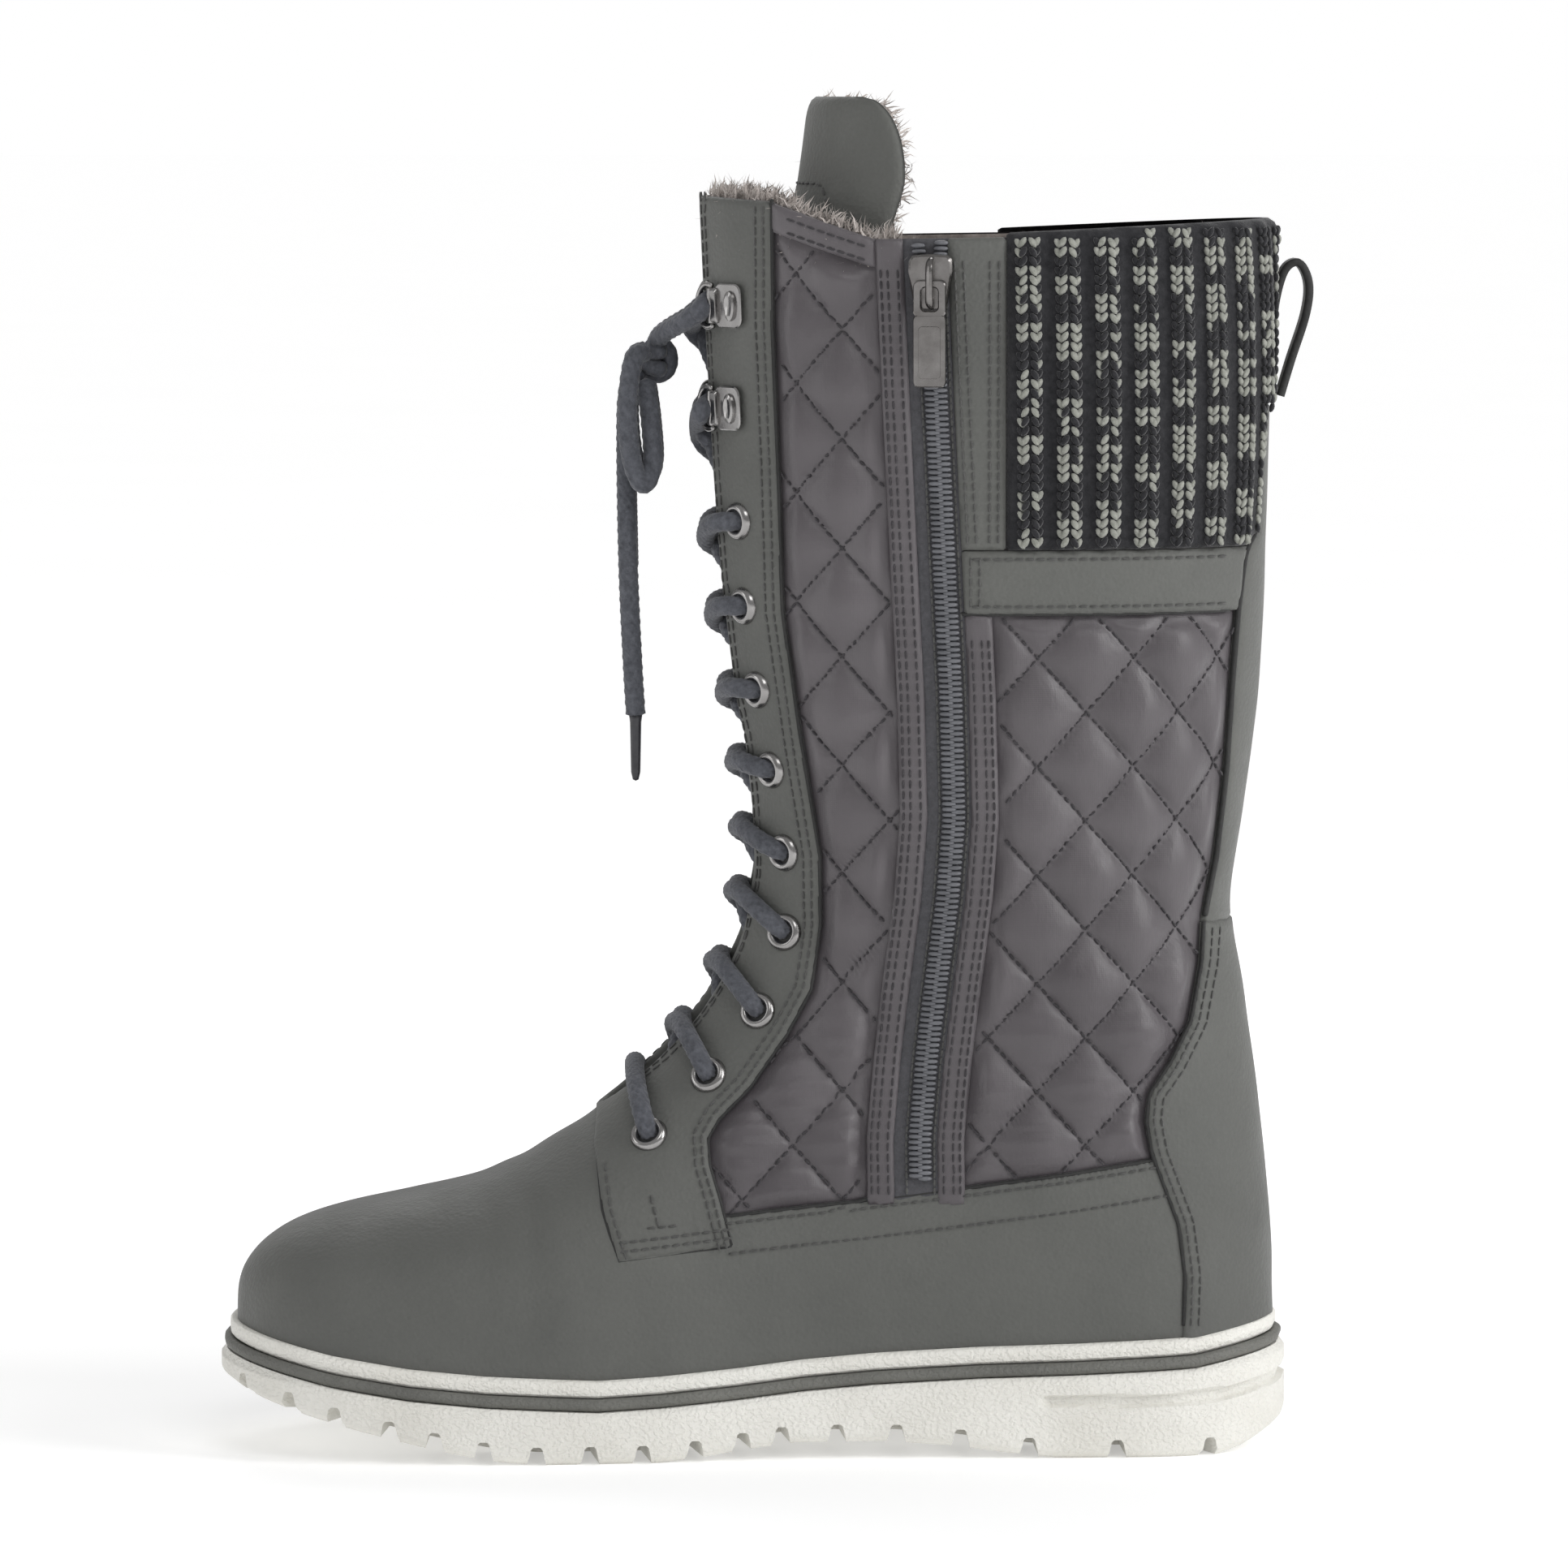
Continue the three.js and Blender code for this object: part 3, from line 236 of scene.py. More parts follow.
def tube(line, radius, sides=10, flat=1.0, braid=0.0):
    """A closed tube with round ends; braid raises the plaited strands of a lace."""
    t, n, b = frames(line)
    angle = np.linspace(0, 2 * math.pi, sides, endpoint=False)
    far = np.concatenate([[0], np.cumsum(np.linalg.norm(np.diff(line, axis=0), axis=1))])
    r = np.broadcast_to(np.asarray(radius, float), (len(line),))[:, None] * np.ones((1, sides))
    if braid:
        left, right = 4 * angle[None] + far[:, None] * math.pi / 3.0, 4 * angle[None] - far[:,
            None] * math.pi / 3.0
        over = (np.floor(left / math.pi) + np.floor(right / math.pi)) % 2 == 0
        ridge = np.where(over, np.abs(np.sin(left)) * (.55 + .45 * np.abs(np.sin(right))),
                         np.abs(np.sin(right)) * (.55 + .45 * np.abs(np.sin(left))))
        r = r * (1 - braid + 1.25 * braid * np.sqrt(ridge))
    rings = (line[:, None] + n[:, None] * (np.cos(angle)[None] * r)[..., None]
             + b[:, None] * (np.sin(angle)[None] * r * flat)[..., None])
    points = np.vstack([rings.reshape(-1, 3), line[:1] - t[:1] * r[0, 0] * .5,
                        line[-1:] + t[-1:] * r[-1, 0] * .5])
    faces = [f[::-1] for f in grid_faces(len(line), sides, close_columns=True)]
    low, high = len(points) - 2, len(points) - 1
    base = (len(line) - 1) * sides
    for k in range(sides):
        faces.append([low, k, (k + 1) % sides])
        faces.append([high, base + (k + 1) % sides, base + k])
    return points, faces


# Materials: every pattern is made of nodes in object space, in metres
class Finish:
    def __init__(self, name, rough, metal=0.0, sheen=0.0, coat=0.0, level=0.5):
        self.material = bpy.data.materials.new(name)
        self.material.use_nodes = True
        self.tree = self.material.node_tree
        self.shader = self.tree.nodes["Principled BSDF"]
        self.shader.inputs["Roughness"].default_value = rough
        self.shader.inputs["Metallic"].default_value = metal
        self.shader.inputs["Sheen Weight"].default_value = sheen
        self.shader.inputs["Sheen Roughness"].default_value = 0.4
        self.shader.inputs["Coat Weight"].default_value = coat
        self.shader.inputs["Specular IOR Level"].default_value = level
        self.where = self.add("ShaderNodeTexCoord").outputs["Object"]

    def add(self, kind, **values):
        node = self.tree.nodes.new(kind)
        for key, value in values.items():
            name = key.replace("_", " ")
            if hasattr(node, key) and not (name in node.inputs and not isinstance(value, str)):
                setattr(node, key, value)
            elif isinstance(value, bpy.types.NodeSocket):
                self.tree.links.new(value, node.inputs[name])
            else:
                node.inputs[name].default_value = value
        return node

    def noise(self, scale, detail=4.0, rough=0.55, vector=None):
        node = self.add("ShaderNodeTexNoise", Scale=scale, Detail=detail, Roughness=rough)
        self.tree.links.new(vector or self.where, node.inputs["Vector"])
        return node.outputs["Fac"]

    def cells(self, scale, feature="F1", vector=None):
        node = self.add("ShaderNodeTexVoronoi", feature=feature, Scale=scale)
        self.tree.links.new(vector or self.where, node.inputs["Vector"])
        return node.outputs["Distance"]

    def stretch(self, scale, turn=(0, 0, 0)):
        node = self.add("ShaderNodeMapping")
        self.tree.links.new(self.where, node.inputs["Vector"])
        node.inputs["Scale"].default_value = scale
        node.inputs["Rotation"].default_value = turn
        return node.outputs["Vector"]

    def waves(self, scale, vector, warp=0.0):
        node = self.add("ShaderNodeTexWave", Scale=scale, Distortion=warp, Detail=1.0)
        self.tree.links.new(vector, node.inputs["Vector"])
        return node.outputs["Fac"]

    def math(self, operation, a, b):
        node = self.add("ShaderNodeMath", operation=operation)
        for socket, value in zip(node.inputs, (a, b)):
            if isinstance(value, bpy.types.NodeSocket):
                self.tree.links.new(value, socket)
            else:
                socket.default_value = value
        return node.outputs[0]

    def ramp(self, fac, stops):
        node = self.add("ShaderNodeValToRGB")
        self.tree.links.new(fac, node.inputs["Fac"])
        while len(node.color_ramp.elements) < len(stops):
            node.color_ramp.elements.new(0.5)
        for element, (place, tone) in zip(node.color_ramp.elements, stops):
            element.position = place
            element.color = (*tone, 1) if isinstance(tone, tuple) else (tone, tone, tone, 1)
        return node.outputs["Color"]

    def colour(self, socket):
        self.tree.links.new(socket, self.shader.inputs["Base Color"])

    def roughness(self, socket):
        self.tree.links.new(socket, self.shader.inputs["Roughness"])

    def bump(self, *layers):
        last_normal = None
        for height, strength, depth in layers:
            node = self.add("ShaderNodeBump", Strength=strength, Distance=depth)
            self.tree.links.new(height, node.inputs["Height"])
            if last_normal:
                self.tree.links.new(last_normal, node.inputs["Normal"])
            last_normal = node.outputs["Normal"]
        self.tree.links.new(last_normal, self.shader.inputs["Normal"])


def leather_finish(name, dark, light, grain=1.0):
    f = Finish(name, 0.62, sheen=0.12, level=0.35)
    patches = f.noise(26, 5, 0.6)
    fine = f.noise(900, 3, 0.6)
    mixed = f.math("ADD", f.math("MULTIPLY", patches, 0.72), f.math("MULTIPLY", fine, 0.28))
    f.colour(f.ramp(mixed, [(0.34, dark), (0.66, light)]))
    f.roughness(f.ramp(f.noise(60, 4), [(0.3, 0.52), (0.7, 0.7)]))
    f.bump((f.cells(820), 0.32 * grain, 0.0004), (f.noise(300, 6, 0.7), 0.35 * grain, 0.0006),
           (f.noise(45, 3, 0.5), 0.22, 0.0016))
    return f.material


LEATHER = leather_finish("boot_leather", (0.094, 0.096, 0.090), (0.114, 0.116, 0.108))
# Near-black copy of the leather: the pull loop's dark edges, and painted shade in the eyelet holes and in the
# crevices along the overlay edges
LEATHER_EDGE_AND_SHADE = leather_finish("boot_leather_edge_and_painted_shade", (0.014, 0.014, 0.014), (0.032, 0.032, 0.031))
# Paler copy of the leather on the pull loop's faces: a painted highlight where light falls on the loop
LEATHER_LOOP_HIGHLIGHT = leather_finish("boot_leather_loop_painted_highlight", (0.15, 0.15, 0.145), (0.23, 0.23, 0.22))


def quilt_finish():
    f = Finish("quilted_nylon", 0.4, sheen=0.25, level=0.5)
    f.colour(f.ramp(f.noise(18, 4), [(0.3, (0.072, 0.064, 0.070)), (0.7, (0.104, 0.094, 0.101))]))
    warp = f.waves(900, f.stretch((1, 1, 0)), 0.6)
    weft = f.waves(900, f.stretch((0, 0, 1), (0, math.pi / 2, 0)), 0.6)
    f.roughness(f.ramp(f.noise(70, 5), [(0.3, 0.34), (0.7, 0.5)]))
    f.bump((warp, 0.1, 0.0002), (weft, 0.1, 0.0002), (f.noise(170, 4, 0.6, f.stretch((1, 1, 0.45))), 0.3,
                                                      0.0012),
           (f.noise(60, 3), 0.3, 0.002))
    return f.material


def sole_finish(name, dark, light):
    f = Finish(name, 0.55, level=0.4)
    stains = f.noise(30, 4)
    f.colour(f.ramp(stains, [(0.3, dark), (0.7, light)]))
    f.roughness(f.ramp(f.noise(90, 4), [(0.3, 0.48), (0.7, 0.66)]))
    worms = f.noise(850, 2, 0.4, f.stretch((1, 1, 1.3)))
    f.bump((f.ramp(worms, [(0.42, 0.0), (0.6, 1.0)]), 0.42, 0.0006), (f.noise(1500, 2), 0.15, 0.0003))
    return f.material


def cloth_finish(name, dark, light, rough=0.85, scale=1300, sheen=0.2):
    f = Finish(name, rough, sheen=sheen, level=0.3)
    f.colour(f.ramp(f.noise(scale / 3, 4, 0.7), [(0.3, dark), (0.7, light)]))
    f.bump((f.noise(scale, 4, 0.7), 0.5, 0.0004), (f.noise(scale / 6, 3), 0.25, 0.0008))
    return f.material


def metal_finish(name, dark, light, rough=0.32):
    f = Finish(name, rough, metal=1.0)
    f.colour(f.ramp(f.noise(160, 5), [(0.3, dark), (0.7, light)]))
    f.roughness(f.ramp(f.noise(240, 5, 0.7), [(0.3, rough - 0.07), (0.7, rough + 0.12)]))
    f.bump((f.noise(700, 4, 0.7, f.stretch((1, 1, 0.2))), 0.06, 0.0002))
    return f.material


def plastic_finish(name, dark, light, rough=0.4):
    f = Finish(name, rough, level=0.45)
    f.colour(f.ramp(f.noise(220, 4), [(0.3, dark), (0.7, light)]))
    f.bump((f.noise(900, 3), 0.12, 0.0002))
    return f.material


QUILT = quilt_finish()
SOLE = sole_finish("sole_rubber", (0.70, 0.685, 0.635), (0.80, 0.79, 0.745))
STRIPE = sole_finish("stripe_rubber", (0.115, 0.115, 0.105), (0.165, 0.165, 0.15))
LINING = cloth_finish("lining_fleece", (0.15, 0.13, 0.12), (0.30, 0.27, 0.25), 0.95, 700, 0.4)
FUR = cloth_finish("lining_fur", (0.36, 0.32, 0.295), (0.60, 0.55, 0.52), 0.8, 500, 0.3)
LACE = cloth_finish("lace_braid", (0.055, 0.058, 0.068), (0.115, 0.12, 0.138), 0.8, 1500, 0.25)
KNIT_DARK = cloth_finish("knit_dark", (0.010, 0.010, 0.012), (0.030, 0.030, 0.033), 0.92, 1500, 0.3)
KNIT_PALE = cloth_finish("knit_pale", (0.20, 0.205, 0.18), (0.34, 0.345, 0.31), 0.92, 1500, 0.3)
TAPE = cloth_finish("zip_tape", (0.055, 0.055, 0.060), (0.085, 0.084, 0.092), 0.85, 1800, 0.2)
THREAD = cloth_finish("thread", (0.055, 0.055, 0.053), (0.095, 0.095, 0.092), 0.7, 1600, 0.2)
# The darker thread of the quilting, hem and zip-facing rows: its own dark tone, deepened as painted shade of
# the quilt's creases
THREAD_QUILT_CREASE_SHADE = cloth_finish("thread_quilt_painted_crease_shade", (0.030, 0.028, 0.031), (0.058, 0.053, 0.058), 0.7, 1600, 0.2)
METAL = metal_finish("gunmetal", (0.27, 0.262, 0.258), (0.36, 0.352, 0.348), 0.2)
METAL_DARK = metal_finish("gunmetal_dark", (0.15, 0.142, 0.137), (0.25, 0.24, 0.235), 0.2)
COIL = plastic_finish("zip_coil", (0.085, 0.087, 0.096), (0.14, 0.143, 0.157))
AGLET = plastic_finish("aglet_plastic", (0.02, 0.02, 0.024), (0.05, 0.05, 0.056), 0.3)


# A fine even grid over the whole last, shared by every layer of the upper
def last_grid(step, around):
    u = np.linspace(0, LAST_ROW - 0.05, 5000)
    steps = np.max([np.linalg.norm(np.diff(last(u, v), axis=0), axis=1) for v in (0.0, 1.57, -1.57, 3.14)], 0)
    far = np.concatenate([[0], np.cumsum(steps)])
    u = np.interp(np.arange(0, far[-1], step), far, u)
    h = math.pi / 2
    dense = np.concatenate([np.linspace(0, h - .15, 250), np.linspace(h - .15, h + .15, 500)[1:],
                            np.linspace(h + .15, math.pi, 250)[1:]])
    middle = np.searchsorted(dense, h)
    sides_v, sides_w = [], []
    for side in (1, -1):
        p = last(u[:, None], side * dense[None])
        arc = np.concatenate([np.zeros((len(u), 1)), np.cumsum(np.linalg.norm(np.diff(p, axis=1), axis=2),
                                                               1)], 1)
        share = np.linspace(0, 1, around)
        v = np.array([np.interp(share * a[-1], a, dense) for a in arc])
        w = arc[:, middle][:, None] - share[None] * arc[:, -1:]
        sides_v.append(side * v)
        sides_w.append(w)
    grid_v = np.concatenate([sides_v[0], sides_v[1][:, -2:0:-1]], 1)
    grid_w = np.concatenate([sides_w[0], sides_w[1][:, -2:0:-1]], 1)
    return np.repeat(u[:, None], grid_v.shape[1], 1), grid_v, grid_w


class Grid:
    def __init__(self, step, around):
        self.u, self.v, self.w = last_grid(step, around)
        self.p = last(self.u, self.v)
        self.cells = np.array(grid_faces(*self.u.shape, close_columns=True))


COARSE, FINE = Grid(1.5, 112), Grid(1.15, 148)
U, V, W, P = COARSE.u, COARSE.v, COARSE.w, COARSE.p


def patch(name, inside, lift, material, skirt=0.8, grid=COARSE, **more):
    """A sheet cut from the grid where inside() is positive, with its rim on the line where it is zero."""
    gu, gv, gw, all_cells = grid.u, grid.v, grid.w, grid.cells
    row_count, around = gu.shape
    d = inside(grid.p, gu, gv)
    good = d > 0
    cells = all_cells[good.ravel()[all_cells].any(1)]
    used = np.zeros(gu.size, bool)
    used[cells.ravel()] = True
    rim = np.argwhere(used.reshape(gu.shape) & ~good)
    u, v, gap = gu.copy(), gv.copy(), d.copy()
    best = np.full(len(rim), -1e9)
    mate = rim.copy()
    for di in (-1, 0, 1):
        for dj in (-1, 0, 1):
            i = np.clip(rim[:, 0] + di, 0, row_count - 1)
            j = (rim[:, 1] + dj) % around
            better = d[i, j] > best
            best = np.where(better, d[i, j], best)
            mate[better] = np.stack([i, j], 1)[better]
    u0, v0 = gu[mate[:, 0], mate[:, 1]], gv[mate[:, 0], mate[:, 1]]
    du = gu[rim[:, 0], rim[:, 1]] - u0
    dv = (gv[rim[:, 0], rim[:, 1]] - v0 + math.pi) % (2 * math.pi) - math.pi
    low, high = np.zeros(len(rim)), np.ones(len(rim))
    for _ in range(11):
        t = (low + high) / 2
        ok = inside(last(u0 + du * t, v0 + dv * t), u0 + du * t,
                    (v0 + dv * t + math.pi) % (2 * math.pi) - math.pi) > 0
        low, high = np.where(ok, t, low), np.where(ok, high, t)
    u[rim[:, 0], rim[:, 1]] = u0 + du * low
    v[rim[:, 0], rim[:, 1]] = v0 + dv * low
    gap[rim[:, 0], rim[:, 1]] = 0
    index = np.full(gu.size, -1)
    index[used] = np.arange(used.sum())
    u, v, gap, w = u.ravel()[used], v.ravel()[used], gap.ravel()[used], gw.ravel()[used]
    away = lift(last(u, v), u, v, gap, w)
    points = skin(u, v, away)
    faces = index[cells]
    edges = np.concatenate([faces[:, [0, 1]], faces[:, [1, 2]], faces[:, [2, 3]], faces[:, [3, 0]]])
    _, first, count = np.unique(np.sort(edges, 1), axis=0, return_index=True, return_counts=True)
    border = edges[first[count == 1]]
    loop = np.unique(border)
    under = np.full(len(points), -1)
    under[loop] = len(points) + np.arange(len(loop))
    points = np.vstack([points, skin(u[loop], v[loop], away[loop] - skirt)])
    walls = np.stack([border[:, 1], border[:, 0], under[border[:, 0]], under[border[:, 1]]], 1)
    faces = np.vstack([faces, walls])[:, ::-1]
    return piece(name, points, faces.tolist(), material, **more)


def polygon(outline):
    a = np.array(outline, float)
    b = np.roll(a, -1, 0)

    def distance(p):
        q = p[..., [0, 2]].reshape(-1, 1, 2)
        e, w = b - a, q - a
        t = np.clip((w * e).sum(-1) / (e * e).sum(-1), 0, 1)
        near = np.linalg.norm(w - e * t[..., None], axis=-1).min(1)
        cross = ((a[:, 1] <= q[..., 1]) != (b[:, 1] <= q[..., 1]))
        rise = np.where(b[:, 1] == a[:, 1], 1e-9, b[:, 1] - a[:, 1])
        left = q[..., 0] < (b[:, 0] - a[:, 0]) * (q[..., 1] - a[:, 1]) / rise + a[:, 0]
        odd = (cross & left).sum(1) % 2 == 1
        return np.where(odd, near, -near).reshape(p.shape[:-1])
    return distance


def least(*values):
    return np.minimum.reduce(np.broadcast_arrays(*values))


def most(*values):
    return np.maximum.reduce(np.broadcast_arrays(*values))


def soft(a, b, x):
    t = np.clip((x - a) / (b - a), 0, 1)
    return t * t * (3 - 2 * t)


def throat(p, v):
    """How far a point lies outside the slot of the throat."""
    half = np.where(p[..., 2] < 88, -60, lookup(THROAT, p[..., 2]))
    return np.where(np.cos(v) > 0.2, np.abs(p[..., 1]) - half, 99)


def on_side(v, side):
    return np.where(v * side > 0, 99.0, -99.0)


def below_collar(p, more=0.0):
    return lookup(COLLAR, p[..., 0]) + more - p[..., 2]


eyestay_area = polygon(EYESTAY)
counter_area = polygon(COUNTER)


def eyestay(p, u, v):
    return least(eyestay_area(p), throat(p, v) - 0.2, below_collar(p))


def counter(p, u, v):
    return least(counter_area(p), p[..., 2] - lookup(LIP, p[..., 0]) + 4)


def back_strip(p, u, v):
    return least(lookup(STRIP_EDGE, p[..., 2]) - p[..., 0], p[..., 2] - 137.5, 273 - p[..., 2])


def past_strip(p, more=0.3):
    return np.where(p[..., 2] < 273, p[..., 0] - lookup(STRIP_EDGE, p[..., 2]) - more, 99)


def band_front(p, v):
    return np.where(v > 0, lookup(ZIP_LINE, p[..., 2]) - TAPE_BACK - 0.3, STRAP_FRONT)


def cuff_strap(p, u, v):
    return least(CUFF_LOW - 0.2 - p[..., 2], p[..., 2] - STRAP_LOW, band_front(p, v) - p[..., 0],
                 past_strip(p))


def cuff_strip(p, u, v):
    return least(p[..., 2] - CUFF_LOW, p[..., 0] - CUFF_FRONT, band_front(p, v) - p[..., 0], below_collar(p))


def knit_cuff(p, u, v):
    slot = np.where((np.abs(p[..., 1]) < 12) & (p[..., 0] < 40),
                    most(np.abs(p[..., 1]) - 7, p[..., 2] - 313, 272 - p[..., 2]), 99)
    return least(CUFF_FRONT - p[..., 0], p[..., 2] - CUFF_LOW, below_collar(p, 1.2), past_strip(p), slot)


def zip_part(back, front, low, high):
    def area(p, u, v):
        x = p[..., 0] - lookup(ZIP_LINE, p[..., 2])
        return least(x - back, front - x, p[..., 2] - low, high - p[..., 2], below_collar(p), on_side(v, 1))
    return area


facing_front = zip_part(TAPE_FRONT + 0.3, TAPE_FRONT + 0.3 + FACING, 66, 330)
facing_back = zip_part(-TAPE_BACK - 0.3 - FACING, -TAPE_BACK - 0.3, 66, STRAP_LOW - 0.3)
zip_tape = zip_part(-TAPE_BACK - 1, TAPE_FRONT + 1, 64, 330)


def top_hem(p, u, v):
    back = np.where(v > 0, lookup(ZIP_LINE, p[..., 2]) + TAPE_FRONT + FACING + 0.3, STRAP_FRONT)
    return least(p[..., 2] - lookup(COLLAR, p[..., 0]) + 7.2, below_collar(p), p[..., 0] - back,
                 -eyestay_area(p))


def lower_leather(p, u, v):
    vamp = least((8.95 - u) * 14, throat(p, v) - 0.6)
    return least(most(lookup(QUARTER_TOP, p[..., 0]) - p[..., 2], vamp),
                 p[..., 2] - lookup(LIP, p[..., 0]) + 7)


def covered(p, u, v):
    """Least distance from the layers that are sewn on over the quilt; negative under them."""
    return -most(eyestay(p, u, v), counter(p, u, v), back_strip(p, u, v), cuff_strap(p, u, v),
                 cuff_strip(p, u, v),
                 knit_cuff(p, u, v), facing_front(p, u, v), facing_back(p, u, v), zip_tape(p, u, v),
                 top_hem(p, u, v), lookup(QUARTER_TOP, p[..., 0]) - p[..., 2])


def shaft_area(p, u, v):
    low = lookup(QUARTER_TOP, p[..., 0]) - 5
    return least(p[..., 2] - low, below_collar(p), throat(p, v) - 1.5, (u - 8.6) * 14)


# Finding the place on the last that shows at x and z from one side
TREES = {}
for side in (1, -1):
    spots = np.argwhere((V * side > 0.03) & (V * side < 3.11))
    tree = KDTree(len(spots))
    for k, (i, j) in enumerate(spots):
        tree.insert((P[i, j, 0], P[i, j, 2], 0), k)
    tree.balance()
    TREES[side] = (tree, spots)


def locate(points, side):
    goal = np.asarray(points, float)[:, :2]
    tree, spots = TREES[side]
    start = np.array([spots[tree.find((x, z, 0))[1]] for x, z in goal])
    u, v = U[start[:, 0], start[:, 1]], V[start[:, 0], start[:, 1]]
    e = 1e-3
    for _ in range(8):
        p = last(u, v)[:, [0, 2]]
        a = (last(u + e, v)[:, [0, 2]] - p) / e
        b = (last(u, v + e)[:, [0, 2]] - p) / e
        miss = goal - p
        det = a[:, 0] * b[:, 1] - a[:, 1] * b[:, 0]
        det = np.where(np.abs(det) < 3, 3 * np.sign(det + 1e-9), det)
        u = np.clip(u + np.clip((miss[:, 0] * b[:, 1] - miss[:, 1] * b[:, 0]) / det, -.3, .3), 0, LAST_ROW)
        v = v + np.clip((a[:, 0] * miss[:, 1] - a[:, 1] * miss[:, 0]) / det, -.2, .2)
    return u, v


def seat(x, z, side):
    """Place, outward, along (towards the toe) and up directions on the skin."""
    u, v = locate([(x, z)], side)
    n = normal(u, v)[0]
    up = np.array([0, 0, 1.0]) - n * n[2]
    up /= np.linalg.norm(up)
    along = np.cross(up, n)
    if along[0] < 0:
        along = -along
    return last(u, v)[0], n, along, up


# Sole: rings of the feather outline, with the stripe groove, heel groove and tread notches
def feather(side, count=420):
    def over(u, v):
        p = last(u, side * v)
        return p[..., 2] - lookup(LIP, p[..., 0])
    low, high = LAST_ROW / 2, float(LAST_ROW)
    for _ in range(40):
        middle = (low + high) / 2
        s = section(np.array([middle]))[0]
        low, high = (low, middle) if s[3] > lookup(LIP, s[2]) else (middle, high)
    u = np.linspace(0, low, count)
    a, b = np.zeros(count), np.full(count, math.pi)
    for _ in range(36):
        c = (a + b) / 2
        above = over(u, c) > 0
        a, b = np.where(above, c, a), np.where(above, b, c)
    p = last(u, side * a)
    p[:, 2] = 0
    return even(p, 1.1)


inner_edge, outer_edge = feather(1), feather(-1)
half_count = 300
inner_edge = even(inner_edge, np.linalg.norm(np.diff(inner_edge, axis=0), axis=1).sum() / half_count)
outer_edge = even(outer_edge, np.linalg.norm(np.diff(outer_edge, axis=0), axis=1).sum() / half_count)
OUTLINE = np.vstack([inner_edge, outer_edge[-2:0:-1]])
run = np.roll(OUTLINE, -3, 0) - np.roll(OUTLINE, 3, 0)
OUTWARD = unit(np.stack([run[:, 1], -run[:, 0], np.zeros(len(run))], 1))


def sole_ring(out, height):
    p = OUTLINE + OUTWARD * np.asarray(out)[..., None]
    p[:, 2] = height(p[:, 0]) if callable(height) else height
    return p


def lip(x):
    return lookup(LIP, x)


def tread(x):
    return lookup(TREAD, x)


def sole_side(share):
    """One ring of the side wall, from the stripe down to the tread."""
    top, foot = lip(OUTLINE[:, 0]) - 8.2, tread(OUTLINE[:, 0])
    z = top + (foot - top) * share
    out = 5.2 - 0.9 * soft(.9, 0, (top - z) / 1.4) - 2.2 * soft(2.6, 0, z - foot) ** 2
    groove = np.interp(OUTLINE[:, 0], [-6, 0, 8, 20, 36, 70], [24.5, 22.5, 19, 16.2, 15, 15])
    cut = soft(1.75, 1.15, np.abs(z - groove)) * soft(67, 64.5, OUTLINE[:, 0])
    out = out - 1.6 * cut
    p = OUTLINE + OUTWARD * out[:, None]
    p[:, 2] = z
    return p


def down(amount):
    return lambda x: lip(x) - amount


sole_rings = [sole_ring(-4, down(10)), sole_ring(-4, down(.3)), sole_ring(.6, down(.15)),
              sole_ring(1.6, down(.1)),
              sole_ring(2.4, down(.5)), sole_ring(2.8, down(1.2)), sole_ring(2.85, down(2.6)),
              sole_ring(2.7, down(3.9)),
              sole_ring(2.2, down(4.4)), sole_ring(1.2, down(4.5)), sole_ring(1.2, down(8.1)),
              sole_ring(3.8, down(8.15))]
sole_rings += [sole_side(t) for t in np.concatenate([np.linspace(0.004, .9, 30), np.linspace(.915, 1, 7)])]
ring_size = len(OUTLINE)
sole_points = np.vstack(sole_rings)
sole_faces = [f[::-1] for f in grid_faces(len(sole_rings), ring_size, close_columns=True)]
bottom = (len(sole_rings) - 1) * ring_size
for k in range(half_count):
    a, b = k, k + 1
    c, d = (ring_size - k - 1) % ring_size, (ring_size - k) % ring_size
    corners = [a, b, c, d] if a != d else [a, b, c]
    corners = corners if b != c else [a, b, d]
    sole_faces.append(corners)
    sole_faces.append([bottom + q for q in corners[::-1]])
sole = piece("sole_unit", sole_points, sole_faces, SOLE, replaces=["outsole"], slot="sole")

cutter = Parts()
for x in NOTCHES:
    for side in (1, -1):
        edge = OUTLINE[:half_count + 1] if side > 0 else OUTLINE[half_count:]
        out = OUTWARD[:half_count + 1] if side > 0 else OUTWARD[half_count:]
        k = np.argmin(np.abs(edge[:, 0] - x) + np.where(np.abs(edge[:, 1]) < 3, 50, 0))
        at, o = edge[k], out[k]
        along = np.array([-o[1], o[0], 0])
        foot = float(tread(x))
        rows = []
        for away in (5.2 + 8, 5.2 - 24):
            for t, z in ((-3.2, foot - 3), (3.2, foot - 3), (1.5, foot + 4.2), (.9, foot + 4.8),
                         (-.9, foot + 4.8), (-1.5, foot + 4.2)):
                q = at + o * away + along * t
                rows.append([q[0], q[1], z])
        faces = [[j, (j + 1) % 6, 6 + (j + 1) % 6, 6 + j] for j in range(6)] + [[5, 4, 3, 2, 1, 0],
                                                                                [6, 7, 8, 9, 10, 11]]
        cutter.put(rows, [f[::-1] for f in faces])
knife = cutter.make("notch_knife", SOLE)
cut = sole.modifiers.new("notches", "BOOLEAN")
cut.operation, cut.object, cut.solver = "DIFFERENCE", knife, "EXACT"
carved = bpy.data.meshes.new_from_object(sole.evaluated_get(bpy.context.evaluated_depsgraph_get()))
sole.modifiers.clear()
sole.data = carved
carved.polygons.foreach_set("use_smooth", [True] * len(carved.polygons))
carved.set_sharp_from_angle(angle=math.radians(38))
bpy.data.objects.remove(knife)

